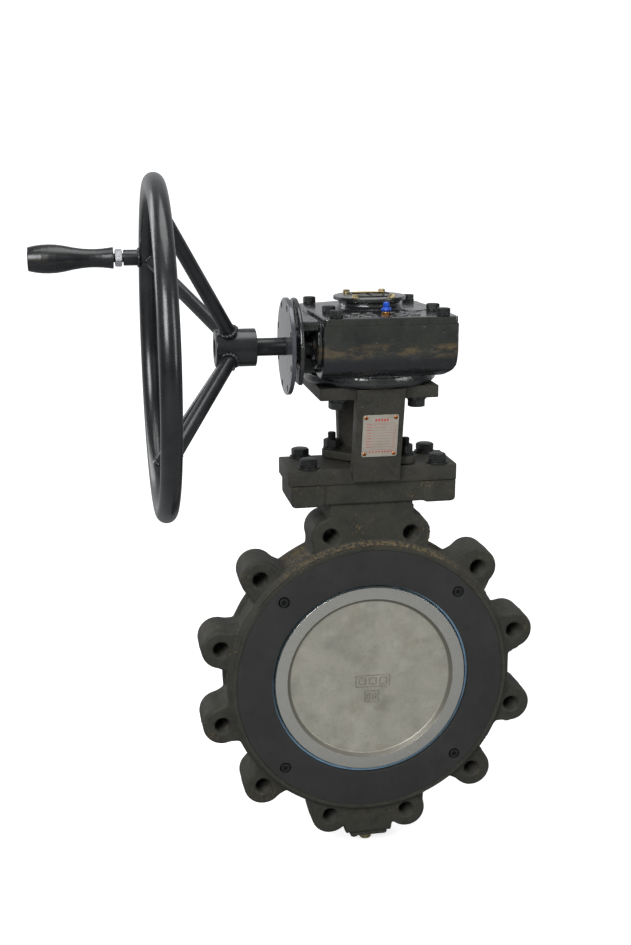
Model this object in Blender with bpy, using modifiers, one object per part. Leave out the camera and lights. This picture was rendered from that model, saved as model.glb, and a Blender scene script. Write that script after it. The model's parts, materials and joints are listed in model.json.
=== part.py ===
"""Lug-type high-performance butterfly valve with a worm-gear operator and handwheel.

Frame: metres, +Z up along the stem, pipe axis along Y.  Front is -Y, the seat-retainer side;
the handwheel is at -X.  Origin: on the rear gasket face, 144 mm straight above the pipe axis.
Dimensions are in millimetres from the pipe axis at the plane midway between the two gasket
faces; DATUM places that point in the frame.
NPS 10 / DN 250, Class 150: 12 lugs on a 362 mm circle, 71 mm face to face.
"""
import math

import bmesh
import bpy
from mathutils import Matrix, Vector

MM = 0.001
TAU = 2.0 * math.pi
SIDES = (-1, 1)

# ------------------------------------------------------------------ driving dimensions (mm)
GAP = 0.3                     # assembly gap between touching pieces

STEM_X = 1.5                  # second offset: stem axis beside the pipe axis
STEM_R = 16.0
STEM_BORE_R = STEM_R + GAP
STEM_TOP = 426.0
STEM_BOTTOM = -196.0
DISC_PIN_Z = 62.0             # disc pins above and below the pipe axis
DISC_PIN_R = 5.0

FACE_HALF = 35.5              # half of the face-to-face length
LUG_HALF = 27.5               # half of the lug depth
LUG_COUNT = 12
LUG_PCR = 181.0               # bolt-circle radius
LUG_R = 22.8
LUG_HOLE_R = 11.0
BARREL_R = 165.0
RAISED_R = 163.5
BORE_R = 121.0
RETAINER_R = 158.6
RETAINER_BORE_R = 117.2
RETAINER_H0 = FACE_HALF - 10.0        # rear face of the 10 mm thick retainer, towards -Y
SEAT_POCKET_R = 130.0
SEAT_POCKET_H = 18.7                  # floor of the seat pocket, towards -Y
SEAT_H1 = 29.0                        # front of the seat ring, towards -Y
DISC_SPHERE_R = 117.8         # disc rim: spherical zone centred on the pipe axis
SEAT_SCREW_PCR = 145.2

NECK_HALF = 49.0
TOP_Z0, TOP_Z1 = 213.0, 237.7         # valve mounting flange
TOP_HALF_X, TOP_HALF_Y = 95.0, 33.0
PAD_X0, PAD_HALF_Y = 57.0, 35.3
BOSS_HALF, BOSS_Z = 29.0, -201.0      # bottom boss
BEARING_BORE_R = 22.0
PACKING_R = 25.3
PACKING_Z0 = 190.0                    # floor of the packing chamber

PLATE_Z0, PLATE_Z1 = 238.0, 257.3     # bracket bottom plate
PLATE_HALF_X = 97.0
DECK_Z0, DECK_Z1 = 338.0, 352.0       # bracket top plate
DECK_HALF_X, DECK_HALF_Y = 66.5, 56.0
LEG_HALF_X, LEG_T = 27.0, 15.5
LEG_Y0, LEG_Z0 = 44.0, 243.0          # outer face of a leg at its foot
LEG_Y1, LEG_Z1 = 66.0, 351.0          # and at its head
LEG_SLOPE = (LEG_Y1 - LEG_Y0) / (LEG_Z1 - LEG_Z0)
BRACKET_BOLT_X, BRACKET_BOLT_Y = 74.4, 27.4
GLAND_STUD_PCR, GLAND_STUD_ANGLE = 44.0, -30.0
GLAND_STUD_R = 5.0
F12_OFFSET = 44.2                     # PCD 125 mounting flange, 4 bolts at 45 degrees
FOOT_HALF = 23.0                      # bottom cover
FOOT_SCREW_OFFSET = 17.8

WORM_Y, WORM_Z = -63.0, 400.5         # worm axis, parallel to X
MODULE = 3.0
GEAR_TEETH = 34
WORM_Q = 8.0                          # worm pitch diameter over module
PRESSURE_TAN = math.tan(math.radians(20.0))
GEAR_Z0, GEAR_Z1 = 392.5, 408.5
SECTOR_MARGIN = 18.6                  # sector reaches this far past the quarter turn, degrees
HOUSE_Z0, HOUSE_Z1 = 352.3, 424.0
HOUSE_X0, HOUSE_X1 = -66.5, 79.0      # ends of the worm housing
COVER_Z0, COVER_Z1 = 424.3, 431.6
EAR_X, EAR_Y = 58.3, 54.0             # rear lid bolts, from the stem axis
COVER_BOLTS = ([(STEM_X + side * EAR_X, EAR_Y) for side in SIDES]
               + [(x, y) for y in (-40.0, -82.0) for x in (-52.3, 63.8)])
NIPPLE_X, NIPPLE_Y = 4.0, -71.0
STOP_X = 45.0                         # stop screws on either side of the stem
FLANGE_R = 51.5
SHAFT_R = 9.5

WHEEL_X = -237.4
WHEEL_R = 170.4
WHEEL_TUBE_R = 10.65                  # half-inch pipe bent to a ring
HUB_X0, HUB_X1, HUB_R = -178.9, -135.8, 20.0
WHEEL_PIN_X = -157.0
SPOKE_R = 7.5
SPOKE_X0 = -155.5                     # the four spokes meet on the wheel axis here
SPOKE_ANGLES = (30.0, 120.0, 210.0, 300.0)
HANDLE_Y, HANDLE_Z = 87.0, 484.5

# ------------------------------------------------------------------ placing
DATUM = Vector((0.0, -FACE_HALF, -144.0)) * MM    # pipe-axis centre, seen from the origin
CENTRE = (0, 0, 0)
ON_STEM = (STEM_X, 0, 0)
ON_WORM = (0, WORM_Y, WORM_Z)
ON_HANDLE = (0, HANDLE_Y, HANDLE_Z)

# rotations, named by where they send local +Z
UP = (0.0, 0.0, 0.0)
DOWN = (math.pi, 0.0, 0.0)
TO_FRONT = (math.pi / 2, 0.0, 0.0)     # world -Y; local Y becomes world Z
TO_REAR = (-math.pi / 2, 0.0, 0.0)     # world +Y
ALONG_X = (0.0, math.pi / 2, 0.0)      # world +X

# hole directions
X_DIR, Y_DIR, Z_DIR = (1, 0, 0), (0, 1, 0), (0, 0, 1)

# ------------------------------------------------------------------ clean start
for old in list(bpy.data.objects):
    bpy.data.objects.remove(old, do_unlink=True)

SCENE_ROOT = bpy.context.scene.collection
PARTS = bpy.data.collections.new("butterfly_valve")
CUTTERS = bpy.data.collections.new("cutters")
SCENE_ROOT.children.link(PARTS)
SCENE_ROOT.children.link(CUTTERS)

# ------------------------------------------------------------------ materials
FINISHES = {                   # base colour (linear RGB), roughness, metallic
    "body": ((0.045, 0.043, 0.036), 0.62, 0.3),
    "retainer": ((0.038, 0.040, 0.038), 0.45, 0.4),
    "seat": ((0.20, 0.33, 0.42), 0.40, 0.0),
    "disc": ((0.40, 0.38, 0.33), 0.38, 0.9),
    "steel": ((0.50, 0.50, 0.49), 0.30, 1.0),
    "black_oxide": ((0.020, 0.020, 0.022), 0.42, 0.7),
    "enamel": ((0.012, 0.013, 0.014), 0.16, 0.0),
    "bronze": ((0.45, 0.28, 0.12), 0.35, 1.0),
    "graphite": ((0.05, 0.05, 0.055), 0.60, 0.2),
    "zinc": ((0.62, 0.63, 0.64), 0.28, 1.0),
    "yellow_zinc": ((0.62, 0.50, 0.22), 0.32, 1.0),
    "nameplate": ((0.60, 0.58, 0.50), 0.35, 0.6),
    "blue_cap": ((0.02, 0.09, 0.50), 0.35, 0.0),
    "wheel_paint": ((0.014, 0.015, 0.016), 0.25, 0.0),
    "grip": ((0.010, 0.010, 0.011), 0.20, 0.0),
}


def material(name, finish):
    rgb, roughness, metallic = FINISHES[finish]
    mat = bpy.data.materials.new(name)
    mat.use_nodes = True
    inputs = mat.node_tree.nodes["Principled BSDF"].inputs
    inputs["Base Color"].default_value = (*rgb, 1.0)
    inputs["Roughness"].default_value = roughness
    inputs["Metallic"].default_value = metallic
    mat.diffuse_color = (*rgb, 1.0)
    return mat


# ------------------------------------------------------------------ objects and booleans
def axis_empty(name, at):
    """Empty on an axis of motion, the parent of the pieces that move about it."""
    ob = bpy.data.objects.new(name, None)
    ob.location = Vector(at) * MM + DATUM
    PARTS.objects.link(ob)
    return ob


def register(ob, finish, at=CENTRE, turn=UP, parent=None):
    """Link a finished part: its own material, its location, its rotation and its parent."""
    ob.data.materials.clear()
    ob.data.materials.append(material(ob.name + "_material", finish))
    ob.rotation_euler = turn
    ob.location = Vector(at) * MM + DATUM
    if parent is not None:
        ob.parent = parent
        ob.location -= parent.location
    PARTS.objects.link(ob)


def tool(ob, at=CENTRE, turn=UP):
    """A cutter or a piece to be joined: kept in its own collection and never shown."""
    ob.rotation_euler = turn
    ob.location = Vector(at) * MM + DATUM
    ob.hide_render = True
    ob.display_type = "WIRE"
    CUTTERS.objects.link(ob)
    return ob


def boolean(ob, other, operation):
    mod = ob.modifiers.new(operation.lower(), "BOOLEAN")
    mod.operation = operation
    mod.object = other
    mod.solver = "EXACT"


def cut(ob, other):
    boolean(ob, other, "DIFFERENCE")


def join(ob, other):
    boolean(ob, other, "UNION")


def drill(ob, name, holes):
    cut(ob, tool(rods(name, holes)))


# ------------------------------------------------------------------ solids
def from_bmesh(bm, name, smooth=True):
    mesh = bpy.data.meshes.new(name)
    bm.normal_update()
    bm.to_mesh(mesh)
    bm.free()
    if smooth:
        mesh.shade_smooth()
        mesh.set_sharp_from_angle(angle=math.radians(35))
    return bpy.data.objects.new(name, mesh)


def add_rod(bm, matrix, radius, length, segments):
    bmesh.ops.create_cone(bm, cap_ends=True, cap_tris=False, segments=segments,
                          radius1=radius * MM, radius2=radius * MM, depth=length * MM,
                          matrix=matrix)


def cylinder(name, radius, length, segments, base=0.0, spin=0.0):
    """Cylinder along local Z from base to base + length."""
    bm = bmesh.new()
    middle = Matrix.Translation((0, 0, (base + length / 2) * MM))
    add_rod(bm, middle @ Matrix.Rotation(spin, 4, "Z"), radius, length, segments)
    return from_bmesh(bm, name)


def hexagon(name, flats, height, base=0.0, spin=0.0):
    """Hexagonal prism, sized across its flats."""
    return cylinder(name, flats / math.sqrt(3.0), height, 6, base=base, spin=spin)


def rods(name, items):
    """Separate cylinders in one mesh: (centre, direction, radius, length, segments)."""
    bm = bmesh.new()
    for centre, direction, radius, length, segments in items:
        aim = Vector(Z_DIR).rotation_difference(Vector(direction)).to_matrix().to_4x4()
        add_rod(bm, Matrix.Translation(Vector(centre) * MM) @ aim, radius, length, segments)
    return from_bmesh(bm, name)


def box(name, low, high):
    """Box between two corners."""
    low, high = Vector(low) * MM, Vector(high) * MM
    place = Matrix.Translation((high + low) / 2) @ Matrix.Diagonal((*(high - low), 1.0))
    bm = bmesh.new()
    bmesh.ops.create_cube(bm, size=1.0, matrix=place)
    return from_bmesh(bm, name, smooth=False)


def turned(name, profile, steps, closed=False):
    """Turned shape about local Z from a profile of (radius, height) points."""
    mesh = bpy.data.meshes.new(name)
    bm = bmesh.new()
    points = [bm.verts.new((r * MM, 0.0, h * MM)) for r, h in profile]
    for start, end in zip(points, points[1:]):
        bm.edges.new((start, end))
    if closed:
        bm.edges.new((points[-1], points[0]))
    bm.to_mesh(mesh)
    bm.free()
    ob = bpy.data.objects.new(name, mesh)
    screw = ob.modifiers.new("turn", "SCREW")
    screw.axis = "Z"
    screw.angle = TAU
    screw.steps = screw.render_steps = steps
    screw.use_merge_vertices = True
    screw.merge_threshold = 0.00001
    screw.use_smooth_shade = True
    return ob


def plain_ring(name, r_in, r_out, h0, h1):
    profile = [(r_out, h1), (r_out, h0), (r_in, h0), (r_in, h1)]
    return turned(name, profile, 24, closed=True)


def pin_profile(radius, top, bottom, top_chamfer, bottom_chamfer):
    """Solid rod, chamfered at both ends."""
    return [(0, top), (radius - top_chamfer, top), (radius, top - top_chamfer),
            (radius, bottom + bottom_chamfer), (radius - bottom_chamfer, bottom), (0, bottom)]


def outline_mesh(name, loops, z0, z1):
    """Flat outline with holes, filled both sides and extruded between two heights."""
    curve = bpy.data.curves.new(name, "CURVE")
    curve.dimensions = "2D"
    curve.fill_mode = "BOTH"
    curve.extrude = (z1 - z0) / 2 * MM
    for loop in loops:
        spline = curve.splines.new("POLY")
        spline.points.add(len(loop) - 1)
        for point, (x, y) in zip(spline.points, loop):
            point.co = (x * MM, y * MM, 0.0, 1.0)
        spline.use_cyclic_u = True
    ob = bpy.data.objects.new(name, curve)
    SCENE_ROOT.objects.link(ob)
    bpy.context.view_layer.update()
    depsgraph = bpy.context.evaluated_depsgraph_get()
    mesh = bpy.data.meshes.new_from_object(ob.evaluated_get(depsgraph))
    bm = bmesh.new()
    bm.from_mesh(mesh)
    bmesh.ops.remove_doubles(bm, verts=bm.verts, dist=0.000001)
    bmesh.ops.translate(bm, verts=bm.verts, vec=(0, 0, (z0 + z1) / 2 * MM))
    bmesh.ops.recalc_face_normals(bm, faces=bm.faces)
    # free the names before the finished object takes them
    bpy.data.objects.remove(ob, do_unlink=True)
    bpy.data.curves.remove(curve)
    bpy.data.meshes.remove(mesh)
    return from_bmesh(bm, name)


def hex_bolt(name, flats, head, shank_r, shank, at, turn=UP, spin=0.0):
    """Black bolt: chamfered head from 0 up to head, shank from 0 down."""
    tip_chamfer = 0.8
    bolt = turned(name, [(0.0, 0.1), (shank_r, 0.1), (shank_r, -shank + tip_chamfer),
                         (shank_r - tip_chamfer, -shank), (0.0, -shank)], 10)
    cap = tool(hexagon(name + "_head", flats, head, spin=spin), at, turn)
    half = flats / 2
    trim = turned(name + "_trim", [
        (0, head + 1), (half + 0.9, head + 1), (half - 0.3, head),
        (half + 1.6, head - 1.1), (half + 1.6, -1), (0, -1)], 12)
    boolean(cap, tool(trim, at, turn), "INTERSECT")
    join(bolt, cap)
    register(bolt, "black_oxide", at, turn)


# ------------------------------------------------------------------ outlines and hole patterns
def polar(radius, degrees):
    angle = math.radians(degrees)
    return radius * math.cos(angle), radius * math.sin(angle)


def arc(radius, start, end, steps, cx=0.0, cy=0.0):
    """Points from start to end, both included, in degrees."""
    offsets = [polar(radius, start + (end - start) * i / steps) for i in range(steps + 1)]
    return [(cx + x, cy + y) for x, y in offsets]


def circle(radius, segments, cx=0.0, cy=0.0):
    return arc(radius, 0.0, 360.0, segments, cx, cy)[:-1]


def rounded_rect(half_x, half_y, radius, steps):
    points = []
    for sx, sy, start in ((1, 1, 0), (-1, 1, 90), (-1, -1, 180), (1, -1, 270)):
        points += arc(radius, start, start + 90, steps,
                      sx * (half_x - radius), sy * (half_y - radius))
    return points


def corners(half_x, half_y):
    return [(sx * half_x, sy * half_y) for sx in SIDES for sy in SIDES]


def upright_holes(places, z, radius, length, segments=12):
    """Vertical holes centred on z, at (x, y) places measured from the stem axis."""
    return [((STEM_X + x, y, z), Z_DIR, radius, length, segments) for x, y in places]


BRACKET_BOLTS = corners(BRACKET_BOLT_X, BRACKET_BOLT_Y)
F12_BOLTS = corners(F12_OFFSET, F12_OFFSET)
GLAND_STUDS = [polar(side * GLAND_STUD_PCR, GLAND_STUD_ANGLE) for side in SIDES]
FOOT_SCREWS = [(side * FOOT_SCREW_OFFSET, side * FOOT_SCREW_OFFSET) for side in SIDES]
SEAT_SCREWS = [polar(SEAT_SCREW_PCR, 45 + 90 * k) for k in range(4)]       # (x, z)
LUG_PITCH = 360.0 / LUG_COUNT
LUG_ANGLES = [(k + 0.5) * LUG_PITCH for k in range(LUG_COUNT)]
LUG_EDGE = math.asin(LUG_R / LUG_PCR)       # half angle a lug subtends at the pipe axis


# ------------------------------------------------------------------ valve body
def smooth_max(a, b, blend):
    """Polynomial smooth maximum: rounds the inside corner where two outlines meet."""
    overlap = max(blend - abs(a - b), 0.0) / blend
    return max(a, b) + overlap * overlap * blend * 0.25


def lug_layer_radius(degrees):
    """Outer radius of the lugged layer at a polar angle in the XZ plane."""
    angle = math.radians(degrees)
    tangent = math.sqrt(LUG_PCR ** 2 - LUG_R ** 2)
    fillet = math.radians(3.6)
    out = BARREL_R
    for lug in LUG_ANGLES:
        off = (angle - math.radians(lug) + math.pi) % TAU - math.pi
        if abs(off) <= LUG_EDGE:
            half_chord = math.sqrt(max(LUG_R ** 2 - (LUG_PCR * math.sin(off)) ** 2, 0.0))
            out = max(out, LUG_PCR * math.cos(off) + half_chord)
        else:
            run = (abs(off) - LUG_EDGE) / fillet
            if run < 1.0:
                out = max(out, BARREL_R + (tangent - BARREL_R) * (1.0 - run) ** 2)
    across = max(abs(math.cos(angle)), 1e-9)      # never zero, to divide by
    rise = math.sin(angle)
    if rise > 0.5:                                # neck up to the mounting flange
        top = (TOP_Z0 + 1.0) / rise
        out = min(smooth_max(out, min(top, NECK_HALF / across), 9.0), top)
    if rise < -0.5:                               # bottom boss
        bottom = BOSS_Z / rise
        out = smooth_max(out, min(bottom, BOSS_HALF / across), 6.0)
        if across * out < BOSS_HALF:
            out = min(out, bottom)
    return out


def lug_layer_angles():
    """Polar angles, in degrees, where the outline needs a point."""
    edge = math.degrees(LUG_EDGE)
    offsets = (1.0, 3.1, 5.1, 6.5, edge - 0.05, edge + 0.05, edge + 1.4, edge + 3.6)
    angles = []
    for lug in LUG_ANGLES:
        angles += [lug + side * offset for offset in offsets for side in SIDES]
        angles.append(lug + LUG_PITCH / 2)
    neck = math.degrees(math.atan2(TOP_Z0 + 1.0, NECK_HALF))
    boss = math.degrees(math.atan2(BOSS_Z, BOSS_HALF))
    angles += [neck, 180.0 - neck, 90.0, boss, 180.0 - boss, 270.0]
    return sorted({round(a % 360.0, 4) for a in angles})


def corners_only(loop):
    """The same outline without points lying on a straight run."""
    kept = []
    for i, (x, y) in enumerate(loop):
        ax, ay = loop[i - 1]
        bx, by = loop[(i + 1) % len(loop)]
        area = (x - ax) * (by - ay) - (y - ay) * (bx - ax)
        if abs(area) > 0.02 * math.hypot(bx - ax, by - ay):
            kept.append((x, y))
    return kept


def mounting_flange_outline():
    """Rectangle whose long sides step out to the four corner pads."""
    x1, pad_y, chamfer = TOP_HALF_X, PAD_HALF_Y, 3.0
    quarter = [(PAD_X0 - 1.5, TOP_HALF_Y), (PAD_X0, pad_y), (x1 - chamfer, pad_y),
               (x1 - chamfer * 0.3, pad_y - chamfer * 0.3), (x1, pad_y - chamfer)]
    right = [(x, -y) for x, y in quarter] + quarter[::-1]
    return right + [(-x, -y) for x, y in right]


def valve_body():
    side_r = BARREL_R - 0.6
    recess_r, recess_h = RETAINER_R + GAP, RETAINER_H0 - GAP
    body = turned("valve_body", [       # heights run towards -Y
        (RAISED_R, FACE_HALF), (side_r, LUG_HALF - 1),
        (side_r, -LUG_HALF + 1), (RAISED_R, -FACE_HALF),
        (BORE_R + 3, -FACE_HALF), (BORE_R, -FACE_HALF + 3),
        (BORE_R, SEAT_POCKET_H), (SEAT_POCKET_R, SEAT_POCKET_H),
        (SEAT_POCKET_R, recess_h), (recess_r, recess_h), (recess_r, FACE_HALF)], 60, closed=True)
    outline = corners_only([polar(lug_layer_radius(a), a) for a in lug_layer_angles()])
    holes = [circle(LUG_HOLE_R, 16, *polar(LUG_PCR, a)) for a in LUG_ANGLES]
    lugs = outline_mesh("body_lugs", [outline, circle(161.0, 60)] + holes, -LUG_HALF, LUG_HALF)
    join(body, tool(lugs, turn=TO_FRONT))
    flange = outline_mesh("body_flange", [mounting_flange_outline()], TOP_Z0, TOP_Z1)
    join(body, tool(flange, ON_STEM))

    # stem bore: packing chamber over a bearing bore, and a lower bearing bore
    stem_bore = turned("body_stem_bore", [
        (0, 260), (PACKING_R, 260), (PACKING_R, PACKING_Z0), (BEARING_BORE_R, PACKING_Z0),
        (BEARING_BORE_R, 112), (0, 112)], 24)
    cut(body, tool(stem_bore, ON_STEM))
    cut(body, tool(cylinder("body_lower_bore", BEARING_BORE_R, 110, 24, base=-222), ON_STEM))
    drill(body, "body_holes",
          [((x, -18.0, z), Y_DIR, 3.3, 18.0, 12) for x, z in SEAT_SCREWS]
          + upright_holes(BRACKET_BOLTS, 230, 6.3, 40)
          + upright_holes(GLAND_STUDS, 232, GLAND_STUD_R + GAP, 24)
          + upright_holes(FOOT_SCREWS, -198, 2.8, 14))
    register(body, "body", turn=TO_FRONT)


# ------------------------------------------------------------------ seat, retainer and disc
# Profile heights in this section run towards -Y.
def seat_ring():
    outer_r, rear = SEAT_POCKET_R - GAP, SEAT_POCKET_H + GAP
    seat = turned("seat_ring", [
        (outer_r, SEAT_H1), (outer_r, rear), (119.5, rear), (116.3, 22.0), (115.65, 24.5),
        (115.15, SEAT_H1)], 60, closed=True)
    register(seat, "seat", turn=TO_FRONT)


def retainer_ring():
    step_r, step_h = SEAT_POCKET_R + GAP, SEAT_H1 + GAP
    retainer = turned("retainer_ring", [
        (RETAINER_R, FACE_HALF), (RETAINER_R, RETAINER_H0), (step_r, RETAINER_H0),
        (step_r, step_h), (RETAINER_BORE_R, step_h), (RETAINER_BORE_R, FACE_HALF - 0.5),
        (RETAINER_BORE_R + 0.5, FACE_HALF)], 60, closed=True)
    for i, (x, z) in enumerate(SEAT_SCREWS):
        countersink = turned("countersink_%d" % i, [
            (0, 37), (6.6, 37), (6.6, 35.2), (3.35, 31.7), (3.35, 24), (0, 24)], 12)
        cut(retainer, tool(countersink, (x, 0, z), TO_FRONT))
        screw = turned("retainer_screw_%d" % (i + 1), [
            (0, 33.2), (2.4, 33.2), (2.4, 35.3), (6.0, 35.3), (6.2, 35.0), (3.0, 31.4),
            (3.0, 12.0), (0, 12.0)], 12)
        register(screw, "black_oxide", (x, 0, z), TO_FRONT)
    register(retainer, "retainer", turn=TO_FRONT)


def disc_pin_holes(length):
    return [((STEM_X, 5.0, side * DISC_PIN_Z), Y_DIR, DISC_PIN_R + GAP, length, 12)
            for side in SIDES]


def disc():
    rim = [(math.sqrt(DISC_SPHERE_R ** 2 - h * h), h) for h in (32.1, 27.0, 22.0, 17.0)]
    plate = turned("disc", [(0, 27.5), (95.5, 27.5), (99.5, 32.5), (112.6, 32.5)] + rim
                   + [(104.0, 13.0), (0.0, 9.0)], 60)
    hub = turned("disc_hub", pin_profile(26.5, 112, -112, 2.0, 2.0), 24)
    join(plate, tool(hub, ON_STEM))
    cut(plate, tool(cylinder("disc_bore", STEM_BORE_R, 260, 24, base=-130), ON_STEM))
    drill(plate, "disc_pin_holes", disc_pin_holes(56.0))
    register(plate, "disc", turn=TO_FRONT, parent=DISC_AXIS)


def disc_pins():
    for i, side in enumerate((1, -1), 1):
        pin = turned("disc_pin_%d" % i, pin_profile(DISC_PIN_R, 29.0, -22.6, 0.8, 0.6), 12)
        register(pin, "steel", (STEM_X, 0, side * DISC_PIN_Z), TO_REAR, DISC_AXIS)


# ------------------------------------------------------------------ stem, bearings and packing
def stem():
    shaft = turned("stem", pin_profile(STEM_R, STEM_TOP, STEM_BOTTOM, 1.5, 2.0), 24)
    drill(shaft, "stem_pin_holes", disc_pin_holes(50.0))
    keyway = box("stem_keyway", (STEM_X - 5, 11.2, 386 - GAP), (STEM_X + 5, 20, 414 + GAP))
    cut(shaft, tool(keyway))
    register(shaft, "steel", ON_STEM, parent=DISC_AXIS)
    key = box("stem_key", (-4.7, 11.5, 386), (4.7, 19.4, 414))
    register(key, "steel", ON_STEM, parent=DISC_AXIS)


def stem_rings():
    """Bearings, packing and gland, all round the stem."""
    for name, bore_r, z0, z1, finish in (
            ("upper_bearing", BEARING_BORE_R, 131, 186, "bronze"),
            ("lower_bearing", BEARING_BORE_R, -186, -131, "bronze"),
            ("packing_set", PACKING_R, PACKING_Z0 + GAP, 215, "graphite"),
            ("packing_gland", PACKING_R, 215 + GAP, 258.0, "steel")):
        register(plain_ring(name, STEM_BORE_R, bore_r - GAP, z0, z1), finish, ON_STEM)


def gland_outline():
    """Oval of a centre circle and two end lobes joined by tangents."""
    middle_r, lobe_r = 23.0, 11.5
    tangent = math.degrees(math.acos((middle_r - lobe_r) / GLAND_STUD_PCR))
    points = []
    for centre, radius, start, end, steps in (
            (GLAND_STUD_PCR, lobe_r, -tangent, tangent, 8),
            (0.0, middle_r, tangent, 180 - tangent, 5),
            (-GLAND_STUD_PCR, lobe_r, 180 - tangent, 180 + tangent, 8),
            (0.0, middle_r, 180 + tangent, 360 - tangent, 5)):
        points += arc(radius, start + GLAND_STUD_ANGLE, end + GLAND_STUD_ANGLE, steps,
                      *polar(centre, GLAND_STUD_ANGLE))
    return points


def gland_flange():
    holes = [circle(5.4, 12, x, y) for x, y in GLAND_STUDS]
    flange = outline_mesh("gland_flange", [gland_outline(), circle(STEM_R + 0.6, 24)] + holes,
                          258.3, 267.3)
    register(flange, "body", ON_STEM)


def gland_studs():
    nut_spins = (15, -15)
    for i, ((x, y), spin) in enumerate(zip(GLAND_STUDS, nut_spins)):
        at = (STEM_X + x, y, 0)
        stud = turned("gland_stud_%d" % (i + 1),
                      pin_profile(GLAND_STUD_R, 287, 222.2, 0.8, 0.8), 12)
        register(stud, "black_oxide", at)
        nut = hexagon("gland_nut_%d" % (i + 1), 17, 14.4, 267.8, math.radians(spin))
        bore = cylinder("gland_nut_bore_%d" % i, GLAND_STUD_R + GAP, 40, 12, base=255)
        cut(nut, tool(bore, at))
        register(nut, "black_oxide", at)


# ------------------------------------------------------------------ bottom cover
def bottom_cover():
    """Gasket and cover plate under the bottom boss, with two screws."""
    outline = rounded_rect(FOOT_HALF, FOOT_HALF, 5, 4)
    holes = [circle(2.9, 12, x, y) for x, y in FOOT_SCREWS]
    gasket = outline_mesh("bottom_gasket", [outline, circle(BEARING_BORE_R - 1, 24)] + holes,
                          -202.3, BOSS_Z - GAP)
    register(gasket, "graphite", ON_STEM)
    cover = outline_mesh("bottom_cover", [outline, circle(6.0, 16)] + holes, -207.0, -202.6)
    register(cover, "body", ON_STEM)
    for i, (x, y) in enumerate(FOOT_SCREWS, 1):
        screw = turned("bottom_cover_screw_%d" % i, [
            (0, -192.5), (2.5, -192.5), (2.5, -207.3), (4.3, -207.3), (4.3, -211.4),
            (3.9, -211.8), (0, -211.8)], 10)
        register(screw, "black_oxide", (STEM_X + x, y, 0))


def bottom_plug():
    plug = turned("bottom_plug", [
        (0, -198.2), (5.2, -198.2), (5.7, -198.8), (5.7, -207.6), (9.0, -207.6),
        (9.0, -209.4), (0, -209.4)], 16)
    join(plug, tool(hexagon("plug_hex", 13, 13.0, -221.5), ON_STEM))
    register(plug, "yellow_zinc", ON_STEM)


# ------------------------------------------------------------------ bracket
def yoke_bracket():
    bracket = box("yoke_bracket", (-PLATE_HALF_X, -PAD_HALF_Y, PLATE_Z0),
                  (PLATE_HALF_X, PAD_HALF_Y, PLATE_Z1))
    deck = box("bracket_deck", (-DECK_HALF_X, -DECK_HALF_Y, DECK_Z0),
               (DECK_HALF_X, DECK_HALF_Y, DECK_Z1))
    join(bracket, tool(deck, ON_STEM))
    for i, side in enumerate(SIDES):
        loop = [(side * LEG_Y0, LEG_Z0), (side * (LEG_Y0 - LEG_T), LEG_Z0),
                (side * (LEG_Y1 - LEG_T), LEG_Z1), (side * LEG_Y1, LEG_Z1)]
        if side > 0:
            loop.reverse()
        leg = outline_mesh("bracket_leg_%d" % i, [loop], -LEG_HALF_X, LEG_HALF_X)
        # local (x, y, z) -> world (z, x, y)
        join(bracket, tool(leg, ON_STEM, (math.pi / 2, 0, math.pi / 2)))
    plate_z, deck_z = 248, 345        # hole centres, inside the two plates
    drill(bracket, "bracket_holes",
          upright_holes([(0, 0)], plate_z, 26.5, 40, 28)
          + upright_holes([(0, 0)], deck_z, 32.0, 40, 28)
          + upright_holes(BRACKET_BOLTS, plate_z, 6.4, 40)
          + upright_holes(GLAND_STUDS, plate_z, 5.5, 40)
          + upright_holes(F12_BOLTS, deck_z, 6.4, 40))
    register(bracket, "body")


def bracket_bolts():
    """Four bolts down into the valve flange and four up into the gearbox."""
    number = 0
    for sy in SIDES:
        for sx in SIDES:
            number += 1
            hex_bolt("bracket_bolt_%d" % number, 19, 7.5, 6.0, 38.0,
                     (STEM_X + sx * BRACKET_BOLT_X, sy * BRACKET_BOLT_Y, PLATE_Z1 + 3.0),
                     spin=0.3 * number)
            hex_bolt("gearbox_bolt_%d" % number, 19, 7.5, 6.0, 31.0,
                     (STEM_X + sx * F12_OFFSET, sy * F12_OFFSET, DECK_Z0 - 3.3),
                     DOWN, spin=0.5 + 0.4 * number)


def nameplate():
    """Thin plate on the sloping front leg."""
    z = 297.5
    y = -(LEG_Y0 + (z - LEG_Z0) * LEG_SLOPE)
    plate = outline_mesh("nameplate", [rounded_rect(20, 25, 2.0, 3)], GAP, GAP + 0.9)
    register(plate, "nameplate", (STEM_X + 0.8, y, z),
             (math.pi / 2 + math.atan(LEG_SLOPE), 0, 0))


# ------------------------------------------------------------------ gearbox housing
def cover_outline(grow=0.0):
    """Lid outline: rectangle over the worm at the front, round chamber and two ears behind."""
    x0, x1, y0 = HOUSE_X0 - grow, HOUSE_X1 + grow, -90.0 - grow
    ear_r = 13 + grow
    return ([(x1, y0), (x1, -36.0)]
            + arc(ear_r, -20, 110, 5, STEM_X + EAR_X, EAR_Y)
            + arc(82 + grow, 58, 122, 6, STEM_X, 0)
            + arc(ear_r, 70, 200, 5, STEM_X - EAR_X, EAR_Y)
            + [(x0, -30.0), (x0, y0)])


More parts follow.
